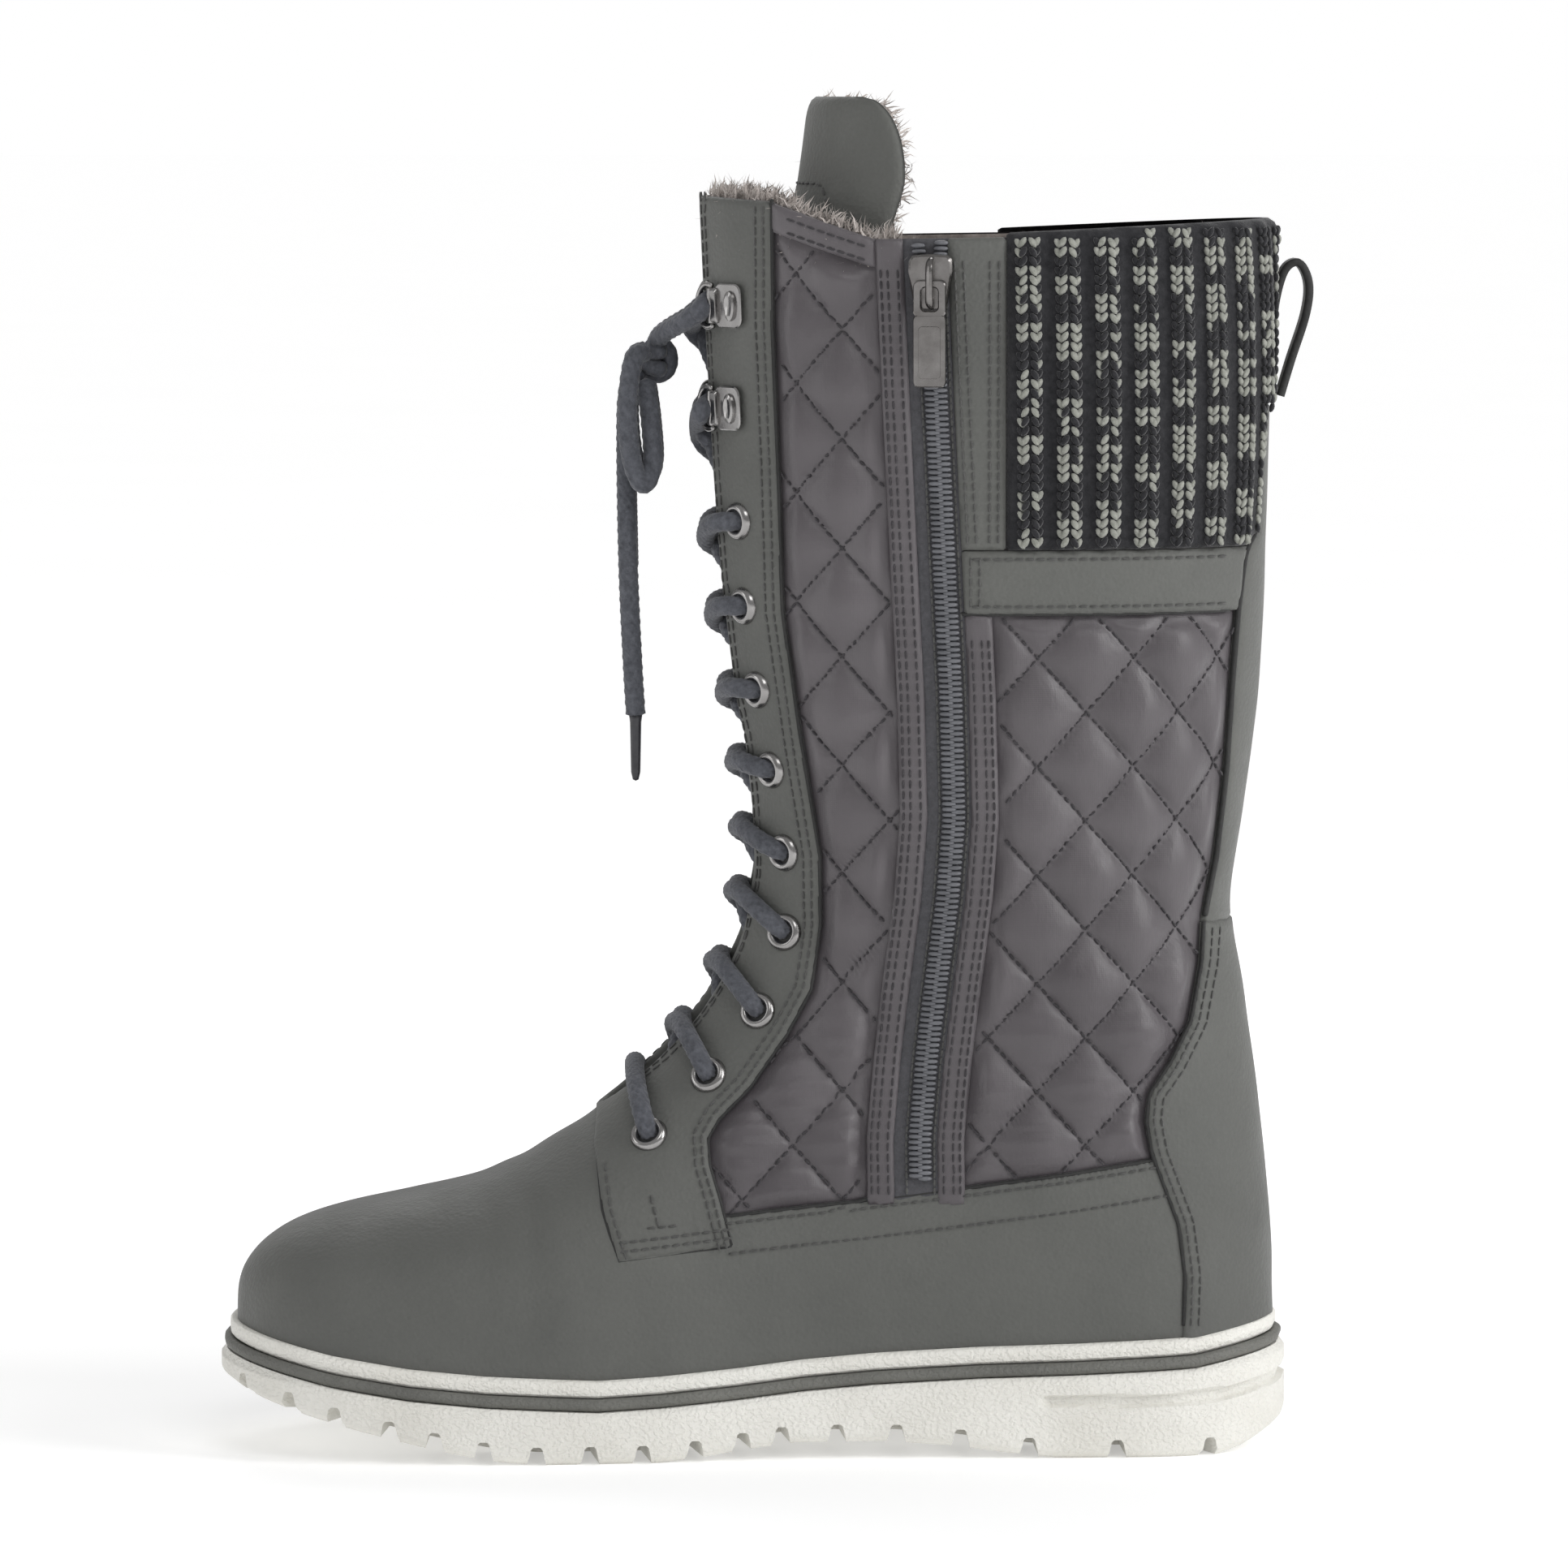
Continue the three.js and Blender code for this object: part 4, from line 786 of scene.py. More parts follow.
bead = [(.9, .35), (1.4, 3.55), (3.3, 3.5), (3.9, 3.1), (4.25, 2.5), (4.35, 1.9), (4.25, 1.3), (3.9, .7),
        (3.3, .35)]
bead_rings = [sole_ring(out, down(4.4 + fall)) for out, fall in bead]
piece("sole_bead", np.vstack(bead_rings), grid_faces(len(bead), ring_size, True, True), STRIPE,
      replaces=["sole_stripe"], slot="stripe")


# Upper: lower leather, quilted shaft and the layers sewn over it
def sheet(base, thick, roll=1.4, rough=0.12, size=9.0):
    def lift(p, u, v, d, w):
        edge = np.sqrt(1 - (1 - np.clip(d / roll, 0, 1)) ** 2)
        return base + thick * (0.35 + 0.65 * edge) + rough * wavy(p, size, 0.7) * np.clip(d / 4, 0, 1)
    return lift


def vamp_lift(p, u, v, d, w):
    creases = np.exp(-((p[..., 0] - 196) / 15) ** 2) * np.sin(p[..., 0] / 2.3 + 1.2 * wavy(p, 14)) * 0.22
    return sheet(-0.1, 1.0, 1.4, 0.22, 17)(p, u, v, d, w) + creases * soft(20, 42, p[..., 2])


# The quilt is drawn on the shaft as if unrolled to the side
S = section(U)
TILT = (S[..., 0] - S[..., 2]) / np.hypot(S[..., 0] - S[..., 2], S[..., 1] - S[..., 3])
ROUND = (S[..., 0] + S[..., 2]) / 2 + W * TILT
ROUND_START = ROUND.ravel()[np.argmin(np.abs(P[..., 0] - 129.7) + np.abs(P[..., 2] - 307)
                                      + np.where(V > 0, 0, 999))]


def quilt_lines(w, u, z):
    s = section(u)
    tilt = (s[..., 0] - s[..., 2]) / np.hypot(s[..., 0] - s[..., 2], s[..., 1] - s[..., 3])
    a = ((s[..., 0] + s[..., 2]) / 2 + w * tilt - ROUND_START) / 25.5
    b = (z - 307) / 28.2
    return a + b, a - b


def quilt_lift(p, u, v, d, w):
    q1, q2 = quilt_lines(w, u, p[..., 2])
    s1, s2 = np.abs(np.sin(math.pi * q1)), np.abs(np.sin(math.pi * q2))
    clear = covered(p, u, v)
    puff = (s1 * s2) ** 0.55 * soft(0, 5.5, clear)
    near = np.exp(-(np.minimum(s1, s2) / 0.3) ** 2) * soft(1, 5, clear)
    pucker = near * 0.22 * np.sin(p[..., 2] * 1.9 + 5 * q1 + 2.4 * wavy(p, 7)) * np.minimum(s1, s2) * 3
    folds = np.sin(p[..., 2] * 1.15 + 0.12 * p[..., 0] + 3.2 * wavy(p * np.array([.35, .35, .8]), 9))
    creased = 0.42 * folds * soft(135, 85, p[..., 2]) * soft(0, 4, clear) * (0.4 + 0.6 * puff)
    return -0.6 + 3.7 * puff * (1 + 0.16 * wavy(p, 11, 1.3)) + pucker + creased - 0.5 * soft(1, -2, clear)


patch("lower_leather", lower_leather, vamp_lift, LEATHER, replaces=["upper"])
patch("quilted_shaft", shaft_area, quilt_lift, QUILT, slot="quilt", grid=FINE)
for side, word in ((1, "medial"), (-1, "lateral")):
    def mine(area, side=side):
        return lambda p, u, v: least(area(p, u, v), on_side(v, side))
    patch("eyestay_" + word, mine(eyestay), sheet(.3, 1.5), LEATHER, replaces=["eyestay_" + word], skirt=1.4)
    patch("cuff_strap_" + word, mine(cuff_strap), sheet(.3, 1.6), LEATHER, replaces=["cuff_strap_" + word],
          skirt=1.4)
    patch("cuff_strip_" + word, mine(cuff_strip), sheet(.3, 1.4), LEATHER, replaces=["cuff_strip_" + word],
          skirt=1.4)
    patch("top_hem_" + word, mine(top_hem), sheet(.2, 1.3, 2.2), QUILT, slot="quilt", skirt=1.2)
patch("heel_counter", counter, sheet(.5, 1.5), LEATHER, replaces=["counter"], skirt=1.4)
patch("back_strip", back_strip, sheet(.3, 1.3), LEATHER, replaces=["back_strip"], skirt=1.4)
patch("zip_facing_front", facing_front, sheet(.3, 1.2), QUILT, replaces=["zip_facing_front"], slot="quilt",
      skirt=1.2)
patch("zip_facing_back", facing_back, sheet(.3, 1.2), QUILT, replaces=["zip_facing_back"], slot="quilt",
      skirt=1.2)
patch("zip_tape", zip_tape, sheet(.1, .5, .6, .03), TAPE, replaces=["zip_tape"], slot="tape")


# Tongue: a padded slab that follows the front of the last and leans back above the collar
TONGUE_LOW, TONGUE_HIGH = 8.4, 23.6


def tongue_place(share, across, depth):
    u = TONGUE_LOW + (TONGUE_HIGH - TONGUE_LOW) * share
    half = 0.5 + 0.5 * share
    far = (1 - share) * 290
    corner = 15 - np.sqrt(np.maximum(15 ** 2 - np.maximum(15 - far, 0) ** 2, 0))
    v = across * half * (1 - corner / 44)
    p = skin(u, v, -4.1 - np.asarray(depth))
    p[..., 0] -= np.interp(p[..., 2], *LEAN)
    return p


rows, columns = 150, 46
share, across = np.meshgrid(1 - (1 - np.linspace(0, 1, rows)) ** 1.25,
                            np.sin(np.linspace(-1, 1, columns) * 1.45) / np.sin(1.45),
                            indexing="ij")
rim = np.minimum(np.clip((1 - np.abs(across)) / 0.05, 0, 1), np.clip((1 - share) / 0.012, 0, 1))
round_rim = np.sqrt(1 - (1 - rim) ** 2)
soft_pad = 0.5 * np.sin(share * 40) * (1 - across ** 2) * 0.25
front_face = tongue_place(share, across, 2 - 2 * round_rim
                          + 0.2 * wavy(tongue_place(share, across, 0 * share), 12) - soft_pad)
back_face = tongue_place(share, across, 2 + 1.7 * round_rim)
tongue_points = np.vstack([front_face.reshape(-1, 3), back_face.reshape(-1, 3)])
count = rows * columns
tongue_faces = grid_faces(rows, columns)
tongue_faces += [[k + count for k in f[::-1]] for f in grid_faces(rows, columns)]
rim_loop = ([j for j in range(columns)] + [i * columns + columns - 1 for i in range(1, rows)]
            + [(rows - 1) * columns + j for j in range(columns - 2, -1, -1)]
            + [i * columns for i in range(rows - 2, 0, -1)])
for a, b in zip(rim_loop, rim_loop[1:] + rim_loop[:1]):
    tongue_faces.append([b, a, a + count, b + count])
tongue = piece("padded_tongue", tongue_points, tongue_faces, [LEATHER, LINING], replaces=["tongue"])
tone = [0] * ((rows - 1) * (columns - 1)) + [1] * ((rows - 1) * (columns - 1)) + [0] * len(rim_loop)
tongue.data.polygons.foreach_set("material_index", tone)

# Lining inside the shaft and the footbed
patch("shaft_lining", lambda p, u, v: least(below_collar(p, -0.4), throat(p, v) - 0.5,
                                            p[..., 2] - lookup(LIP, p[..., 0]) + 3),
      lambda p, u, v, d, w: -2.6 + 0.5 * wavy(p, 1.6) + 0.4 * wavy(p, 3.1, 2.0), LINING, slot="lining",
      skirt=-1.4)
bed = [sole_ring(-9, down(8.7)), sole_ring(-5.2, down(8.7)), sole_ring(-5, down(5.4)),
       sole_ring(-6.4, down(4.8)), sole_ring(-9, down(4.7))]
bed_faces = grid_faces(len(bed), ring_size, close_columns=True)
for k in range(half_count):
    corners = list(dict.fromkeys([k, k + 1, (ring_size - k - 1) % ring_size, (ring_size - k) % ring_size]))
    if len(corners) > 2:
        bed_faces.append(corners[::-1])
        bed_faces.append([q + 4 * ring_size for q in corners])
piece("footbed", np.vstack(bed), bed_faces, LINING, replaces=["insole"], slot="lining")


def fur(name, roots, ways, long, count):
    """Short tapered hairs from root points along given directions."""
    pick = rng.integers(0, len(roots), count)
    root = roots[pick] + rng.normal(0, 0.7, (count, 3))
    way = unit(ways[pick] + rng.normal(0, 0.42, (count, 3)))
    size = long * rng.uniform(0.6, 1.15, count)[:, None]
    bend = rng.normal(0, 0.35, (count, 3))
    wide = unit(np.cross(way, rng.normal(0, 1, (count, 3)))) * rng.uniform(0.2, 0.38, (count, 1))
    middle = root + (way + 0.25 * bend) * size * 0.55
    tip = root + unit(way + bend) * size
    points = np.stack([root - wide, root + wide, middle + wide * .7, middle - wide * .7, tip], 1).reshape(-1,
                                                                                                          3)
    base = np.arange(count)[:, None] * 5
    faces = (base + [0, 1, 2, 3]).tolist() + (base + [3, 2, 4]).tolist()
    return piece(name, points, faces, FUR, slot="lining")


rim_u, rim_v = np.meshgrid(np.linspace(21.8, 23.2, 60), np.linspace(-math.pi, math.pi, 700), indexing="ij")
rim_p = last(rim_u, rim_v)
room = below_collar(rim_p)
keep = (room > np.where(rim_p[..., 0] > 104, 0.2, 6)) & (room < 14) & (throat(rim_p, rim_v) > 0)
inward = skin(rim_u, rim_v, np.full(rim_u.shape, -2.4))[keep]
ways = -0.55 * normal(rim_u, rim_v)[keep] + np.array([0, 0, 0.75])
fur("collar_fur", inward, ways, 5.6, 22000)
a, b = np.meshgrid(np.linspace(0.86, 0.995, 40), np.linspace(-0.97, 0.97, 60), indexing="ij")
tongue_back = tongue_place(a, b, 0 * a + 3.9).reshape(-1, 3)
away = unit(tongue_place(a, b, 0 * a + 6).reshape(-1, 3) - tongue_back)
fur("tongue_fur", tongue_back, away + np.array([-0.1, 0, 0.15]), 5.2, 9000)


# Small closed capsules for stitches, knit loops and zip teeth
def capsule(a, b, radius, sides=5, bulge=0.0, flat=1.0, outward=None):
    a, b = np.asarray(a, float), np.asarray(b, float)
    axis = (b - a) / max(np.linalg.norm(b - a), 1e-6)
    side = np.cross(axis, outward if outward is not None else [0.31, 0.2, 0.93])
    side /= np.linalg.norm(side)
    up = np.cross(side, axis)
    points = [a - axis * radius * .6]
    angles = np.linspace(0, 2 * math.pi, sides, endpoint=False)
    for share, size in ((0, .75), (.33, 1 + bulge), (.67, 1 + bulge), (1, .75)):
        centre = a + (b - a) * share
        for angle in angles:
            points.append(centre + (side * math.cos(angle) + up * math.sin(angle) * flat) * radius * size)
    points.append(b + axis * radius * .6)
    faces = [[0, 1 + (k + 1) % sides, 1 + k] for k in range(sides)]
    for r in range(3):
        for k in range(sides):
            p, q = 1 + r * sides + k, 1 + r * sides + (k + 1) % sides
            faces.append([p, q, q + sides, p + sides])
    end = len(points) - 1
    faces += [[end, end - sides + k, end - sides + (k + 1) % sides] for k in range(sides)]
    return points, faces


# Rib knit: a dark base with ribs, and pairs of slanted loops in dark and pale yarn
def knit_lift(p, u, v, d, w):
    rib = 0.5 + 0.5 * np.cos(2 * math.pi * w / 10)
    swell = np.sin(np.clip((p[..., 2] - CUFF_LOW) / 84, 0, 1) * math.pi) * 1.3
    edge = np.sqrt(1 - (1 - np.clip(d / 3.2, 0, 1)) ** 2)
    return 0.4 + edge * (1.1 + swell + 1.5 * rib) + 0.15 * wavy(p, 2.2)


patch("knit_base", knit_cuff, knit_lift, KNIT_DARK, replaces=["knit_cuff"], slot="knit", skirt=1.6)
yarn = Parts()
cuff_rows = np.flatnonzero((U[:, 0] > 19.2) & (U[:, 0] < 23.6))
for side in (1, -1):
    mine = np.flatnonzero(V[-1] * side > 0) if side > 0 else np.flatnonzero(V[-1] < 0)
    order = mine[np.argsort(W[cuff_rows[0], mine])]
    for rib in range(-13, 8):
        tones, tone_now = [], int(rng.random() < 0.5)
        while len(tones) < 44:
            tones += [tone_now] * int(rng.integers(2, 5))
            tone_now = 1 - tone_now
        for column in (-1, 1):
            for lean in (-1, 1):
                w = rib * 10 + column * 1.75 + lean * 0.82
                v_at = np.array([np.interp(w, W[i, order], V[i, order], left=np.nan,
                                           right=np.nan) for i in cuff_rows])
                fine = ~np.isnan(v_at)
                if fine.sum() < 20:
                    continue
                u_at, v_at = U[cuff_rows, 0][fine], v_at[fine]
                z_at = last(u_at, v_at)[:, 2]
                zs = CUFF_LOW + 0.6 + 2.4 * np.arange(36) + rng.uniform(-.25, .25)
                uu, vv = np.interp(zs, z_at, u_at), np.interp(zs, z_at, v_at)
                foot_v = np.interp(zs - 1.9, z_at, v_at)
                foot_u = np.interp(zs - 1.9, z_at, u_at)
                top = last(uu, vv)
                room = knit_cuff(top, uu, vv)
                high = knit_lift(top, uu, vv, room, np.full(len(zs), w)) + 0.35
                normals = normal(uu, vv)
                shift = unit(np.cross(normals, [0, 0, 1.0])) * 0.62 * lean * side
                for k in np.flatnonzero(room > 0.9):
                    tip = top[k] + normals[k] * high[k]
                    heel = last(foot_u[k], foot_v[k]) + normals[k] * (high[k] - 0.15) - shift[k] * 1.6
                    pale = tones[k] if rng.random() > 0.13 else 1 - tones[k]
                    yarn.put(*capsule(heel, tip + shift[k] * .5, 0.78, 5, 0.12, 0.8, normals[k]), tone=pale)
yarn.make("knit_loops", [KNIT_DARK, KNIT_PALE], slot="knit")


# Pull loop: a flat leather strap with dark edges; its faces take a paler copy of the leather as a painted
# highlight
LOOP_LINE = [(3.4, 274.6), (0.6, 284), (-3.2, 296), (-3.9, 304), (-1.4, 309.2), (2.2, 307.6), (4.6, 300),
             (5.6, 290), (5.9, 277)]
strap = spline([(x, 0, z) for x, z in LOOP_LINE], 0.8)
tangent = unit(np.gradient(strap, axis=0))
away = np.stack([-tangent[:, 2], 0 * strap[:, 0], tangent[:, 0]], 1)
profile = [(1, -5.2), (1.05, 0), (1, 5.2), (.8, 5.8), (0, 6), (-.8, 5.8), (-1, 5.2), (-1.05, 0), (-1, -5.2),
           (-.8, -5.8), (0, -6), (.8, -5.8)]
rings = [strap + away * 1.05 * n + np.array([0, y, 0]) for n, y in profile]
loop_faces = grid_faces(len(profile), len(strap), close_rows=True)
loop = piece("pull_loop", np.vstack(rings), loop_faces, [LEATHER_LOOP_HIGHLIGHT, LEATHER_EDGE_AND_SHADE], replaces=["pull_loop"])
tones = np.repeat([0, 0, 1, 1, 1, 1, 0, 0, 1, 1, 1, 1], len(strap) - 1)
loop.data.polygons.foreach_set("material_index", tones.tolist())


# Metal parts are laid out flat and set on the skin at their place
def set_on(points, place):
    at, out, along, up = place
    p = np.asarray(points, float)
    return at + p[:, :1] * along + p[:, 1:2] * up + p[:, 2:3] * out


def prism(outline, low, high, bevel=0.35):
    """A plate with softened edges from a convex outline."""
    o = np.asarray(outline, float)
    middle = o.mean(0)
    inner = o - unit(o - middle) * bevel
    levels = [(inner, low), (o, low + bevel), (o, high - bevel), (inner, high)]
    points = np.vstack([np.column_stack([ring, np.full(len(o), z)]) for ring, z in levels])
    n = len(o)
    faces = [f for f in grid_faces(4, n, close_columns=True)]
    return points, faces + [list(range(n))[::-1], list(range(3 * n, 4 * n))]


def rounded(width, tall, radius, steps=6, x=0.0, y=0.0):
    out = []
    for cx, cy, turn in ((1, 1, 0), (-1, 1, 1), (-1, -1, 2), (1, -1, 3)):
        for t in np.linspace(0, 1, steps):
            angle = (turn + t) * math.pi / 2
            out.append((x + cx * (width / 2 - radius) + radius * math.cos(angle),
                        y + cy * (tall / 2 - radius) + radius * math.sin(angle)))
    return out


def turned(profile, count=28, x=0.0, y=0.0, stretch=1.0):
    angles = np.linspace(0, 2 * math.pi, count, endpoint=False)
    points = [(x + r * math.cos(a), y + r * stretch * math.sin(a), h) for r, h in profile for a in angles]
    return points, [f for f in grid_faces(len(profile), count, close_columns=True)]


EYELET_PROFILE = [(2.5, 1.2), (2.6, 2.4), (2.95, 3.0), (3.5, 3.3), (4.1, 3.2), (4.6, 2.7), (4.9, 2.1),
                  (5.0, 1.5)]
hole_shade_discs = Parts()
for side, word in ((1, "medial"), (-1, "lateral")):
    for k, (x, z) in enumerate(EYELETS):
        place = seat(x, z, side)
        ring = Parts()
        points, faces = turned(EYELET_PROFILE)
        ring.put(set_on(points, place), faces)
        ring.make(f"eyelet_{word}_{k + 1}", METAL, replaces=[f"eyelet_{word}_{k + 1}"], slot="metal")
        # A dark disc in each eyelet's hole: painted shade inside the hole
        points, faces = turned([(0.05, 2.0), (2.7, 2.0)], 16)
        hole_shade_discs.put(set_on(points, place), faces)
    for k, z in enumerate(RING_Z):
        place = seat(RING_X, z, side)
        plate = Parts()
        for points, faces in (prism(rounded(10.6, 11.4, 2.4, x=-0.6), 2.3, 3.3),
                              turned([(2.1, 3.2), (2.0, 4.0), (1.5, 4.35), (1.2, 4.2), (.05, 4.1)], 24,
                                     x=-2.0, stretch=1.9),
                              prism(rounded(3.4, 9.2, .8, x=4.6), 2.6, 4.4, .7)):
            plate.put(set_on(points, place), faces)
        points, faces = capsule((5.6, -4.4, 3.4), (5.6, 4.4, 3.4), 1.35, 14)
        plate.put(set_on(points, place), faces)
        plate.make(f"ring_plate_{word}_{k + 1}", METAL, replaces=[f"ring_plate_{word}_{k + 1}"], slot="metal",
                   sharp=40)
        wire = [(5.2, 5.2, 3.3), (7.6, 5.5, 3.3), (9.7, 4.2, 3.3), (11.0, 1.8, 3.3), (11.2, -.6, 3.3),
                (10.4, -3.4, 3.3), (8, -5.4, 3.3), (5.2, -5.2, 3.3)]
        points, faces = tube(spline(wire, 0.5), 0.75, 10)
        ring = Parts()
        ring.put(set_on(points, place), faces)
        ring.make(f"lace_ring_{word}_{k + 1}", METAL, replaces=[f"lace_ring_{word}_{k + 1}"], slot="metal")
hole_shade_discs.make("eyelet_hole_painted_shade", LEATHER_EDGE_AND_SHADE)


# Zip: two rows of coil teeth, the slider and its pull; the seams beside them are sewn with the other
# stitching
def on_zip(offset, z, lift):
    z = np.atleast_1d(np.asarray(z, float))
    u, v = locate(np.column_stack([lookup(ZIP_LINE, z) + offset, z]), 1)
    return skin(u, v, np.full(len(z), lift)), normal(u, v)


teeth = Parts()
zs = np.arange(73, 322, 1.45)
for offset, start in ((-1.35, 0.0), (1.35, 0.72)):
    part = soft(300, 318, zs) * 2.0 * np.sign(offset)
    inner_end, normals = on_zip(-offset * 0.25 + part, zs + start, 1.75)
    outer_end, _ = on_zip(offset * 2.0 + part, zs + start, 1.35)
    for k in range(len(zs)):
        if below_collar(inner_end[k]) > 1:
            teeth.put(*capsule(outer_end[k], inner_end[k], 0.6, 6, 0.1, 1.0, normals[k]))
teeth.make("zip_coil", COIL, replaces=["zip_chain"], slot="zip")

place = seat(float(lookup(ZIP_LINE, SLIDER_Z)), SLIDER_Z, 1)
slider = Parts()
shield = [(-4.6, 7), (-2, 7.3), (2, 7.3), (4.6, 7), (5.5, 5.6), (5.6, 3), (5, -1), (4.2, -5.6), (3.4, -7),
          (-3.4, -7), (-4.2, -5.6), (-5, -1), (-5.6, 3), (-5.5, 5.6)]
points, faces = prism(shield, 3.0, 5.6, .6)
slider.put(set_on(points, place), faces)
points, faces = prism(shield, .9, 2.2, .3)
slider.put(set_on(points, place), faces)
arch = spline([(0, 5.6, 5.2), (0, 5.5, 8.2), (0, 4.2, 10.1), (0, 1.5, 10.3), (0, -1.5, 10.2), (0, -4.2, 9.9),
               (0, -5.5, 8.1), (0, -5.6, 5.2)], 0.5)
points, faces = tube(arch, 1.35, 12, 0.55)
slider.put(set_on(points, place), faces)
slider.make("zip_slider", METAL_DARK, replaces=["zip_slider"], slot="metal", sharp=40)

tab = Parts()
hinge = 7.6


def frame_plate(outer, inner, low, high, bevel):
    """A plate with a window, from two outlines with the same number of points."""
    o, i = np.asarray(outer, float), np.asarray(inner, float)
    n = len(o)
    o2, i2 = o - unit(o - o.mean(0)) * bevel, i + unit(i - i.mean(0)) * bevel
    levels = [(o2, low), (o, low + bevel), (o, high - bevel), (o2, high), (i2, high), (i, high - bevel),
              (i, low + bevel), (i2, low)]
    points = np.vstack([np.column_stack([ring, np.full(n, z)]) for ring, z in levels])
    return points, grid_faces(len(levels), n, close_rows=True, close_columns=True)


for points, faces in (frame_plate(rounded(8.4, 9.4, 1.6, y=-3.9), rounded(4.4, 6.0, 1.2, y=-4.0), hinge - .8,
                                  hinge + .8, .3),
                      prism(rounded(8.4, 18.6, 1.3, y=-17.2), hinge - .8, hinge + .8, .35),
                      prism(rounded(5.6, 13.4, .9, y=-17.6), hinge + .7, hinge + 1.0, .12)):
    tab.put(set_on(points, place), faces)
tab.make("zip_pull_tab", METAL_DARK, body="pull_tab", replaces=["zip_pull"], slot="metal", sharp=40)


# Lace: strands come out of an eyelet, cross the throat and pass under the other side
LACE_R = 2.55


def lace_level(level, side):
    if level < len(EYELETS):
        u, v = locate([EYELETS[level]], side)
        return u[0], v[0]
    heights = section(np.linspace(7, LAST_ROW, 600))[:, 1]
    return float(np.interp(RING_Z[level - 9], heights, np.linspace(7, LAST_ROW, 600))), side * 0.2


def ring_hole(level, side):
    at, out, along, up = seat(RING_X, RING_Z[level - len(EYELETS)], side)
    return at + along * 8.3 + out * 3.4, out, up


def lace_strand(high, low, side, over):
    """From one eyelet or ring over the throat, then under the other side to the level below."""
    (ua, va), (ub, vb) = lace_level(high, side), lace_level(low, -side)
    t = np.array([0, .04, .1, .2, .3, .4, .5, .62, .75, .88])
    lift = np.array([.6, 3.3, 4.4, 4.3, 3.6, 2.2 + .6 * over, 1 + over, -.6, -2, -2.8])
    if high == low:
        t, lift = np.array([0, .04, .1, .25, .5, .75, .9, .96, 1]), np.array([.6, 3.3, 4.4, 4, 3.4, 4, 4.4,
                                                                              3.3, .6])
    fall = t ** 1.7
    points = skin(ua + (ub - ua) * fall, va + (vb - va) * t, lift)
    if high >= len(EYELETS):
        hole, out, up = ring_hole(high, side)
        start = [hole - out * 2.4 + up * 1.5, hole + up * .6, hole + out * 1.9 - up * 1.6]
        points = np.vstack([start, points[5:]])
    return spline(points, 0.5)


crossings = Parts()
crossings.put(*tube(lace_strand(0, 0, 1, 0), LACE_R, 32, braid=.17))
for level in range(1, len(EYELETS) + len(RING_Z)):
    for side, over in ((1, 1.6), (-1, -1.2)):
        crossings.put(*tube(lace_strand(level, level - 1, side, over), LACE_R, 32, braid=.17))
for side in (1, -1):
    hole, out, up = ring_hole(len(EYELETS) + 1, side)
    route = [hole - out * 2 - up, hole + out * .6 - up * .4,
             hole + out * 1.5 + np.array([3.2, -2.2 * side, -3.5]),
             np.array([165.2, 6.2 * side, 290.2]), np.array([166.2, 2.6 * side, 285.4])]
    crossings.put(*tube(spline(route, .5), LACE_R, 32, braid=.17))
crossings.make("lace_crossings", LACE, replaces=["lace_crossings"], slot="lace")

BOW = [(169.6, 7.4, 286), (172.1, 11.5, 284), (173.6, 13.5, 272), (172.6, 14.5, 259), (169.6, 14, 252),
       (167.1, 12.5, 257), (167.6, 10, 268), (168.9, 7.6, 278.2)]
LACE_END = [(171.3, 3.2, 281), (173.7, 3.6, 275), (174.1, 4, 260), (173.6, 4.6, 230), (172.5, 5, 205),
            (171.7, 5, 191.5)]


def free_lace(name, route, node):
    line = spline(route, 0.5)
    cord = piece(name, *tube(line, LACE_R, 32, braid=.17), LACE, replaces=[node], slot="lace")


for side, word, end in ((1, "medial", LACE_END), (-1, "lateral", LACE_END[:4])):
    mirrored = [(x, side * y, z) for x, y, z in BOW]
    free_lace("bow_loop_" + word, mirrored, "lace_loop_" + word)
    route = [(x, side * y, z) for x, y, z in end]
    x, y, z = route[-1]
    tip = Parts()
    tip.put(*tube(np.column_stack([np.full(18, x), np.full(18, y), np.linspace(z - .3, z - 17.2, 18)]),
                  np.interp(np.arange(18), [0, 2, 15, 17], [1.75, 1.5, 1.25, .8]), 14))
    aglet = tip.make("aglet_" + word, AGLET, replaces=["aglet_" + word], slot="aglet")
    free_lace("lace_tail_" + word, route, "lace_end_" + word)

knot = Parts()
turns = np.linspace(0, 2 * math.pi, 40)
kx, kz = 165.7, 284
wrap = np.stack([kx + 2.9 * np.cos(turns), 2.2 * np.sin(turns * .5 + .4), kz + 3.9 * np.sin(turns)], 1)
knot.put(*tube(wrap, LACE_R * .9, 32, braid=.17))
for tilt in (-1, 1):
    band = [(kx - 1, -5.8, kz - 2.5 * tilt), (kx + 2.2, -3, kz - 1.2 * tilt), (kx + 3.2, 0, kz + .5 * tilt),
            (kx + 2.2, 3, kz + 1.8 * tilt), (kx - 1, 5.8, kz + 2.5 * tilt)]
    knot.put(*tube(spline(band, .5), LACE_R * .85, 32, braid=.17))
knot.make("bow_knot", LACE, replaces=["lace_knot"], slot="lace")


# Stitching: rows of short threads along lines given by x and z, and near-black tubes beside them at the
# overlay edges, painted shade in the crevices there
def shifted(line, amount):
    p = np.asarray(line, float)
    t = unit(np.gradient(p, axis=0))
    return p + np.column_stack([t[:, 1], -t[:, 0]]) * amount


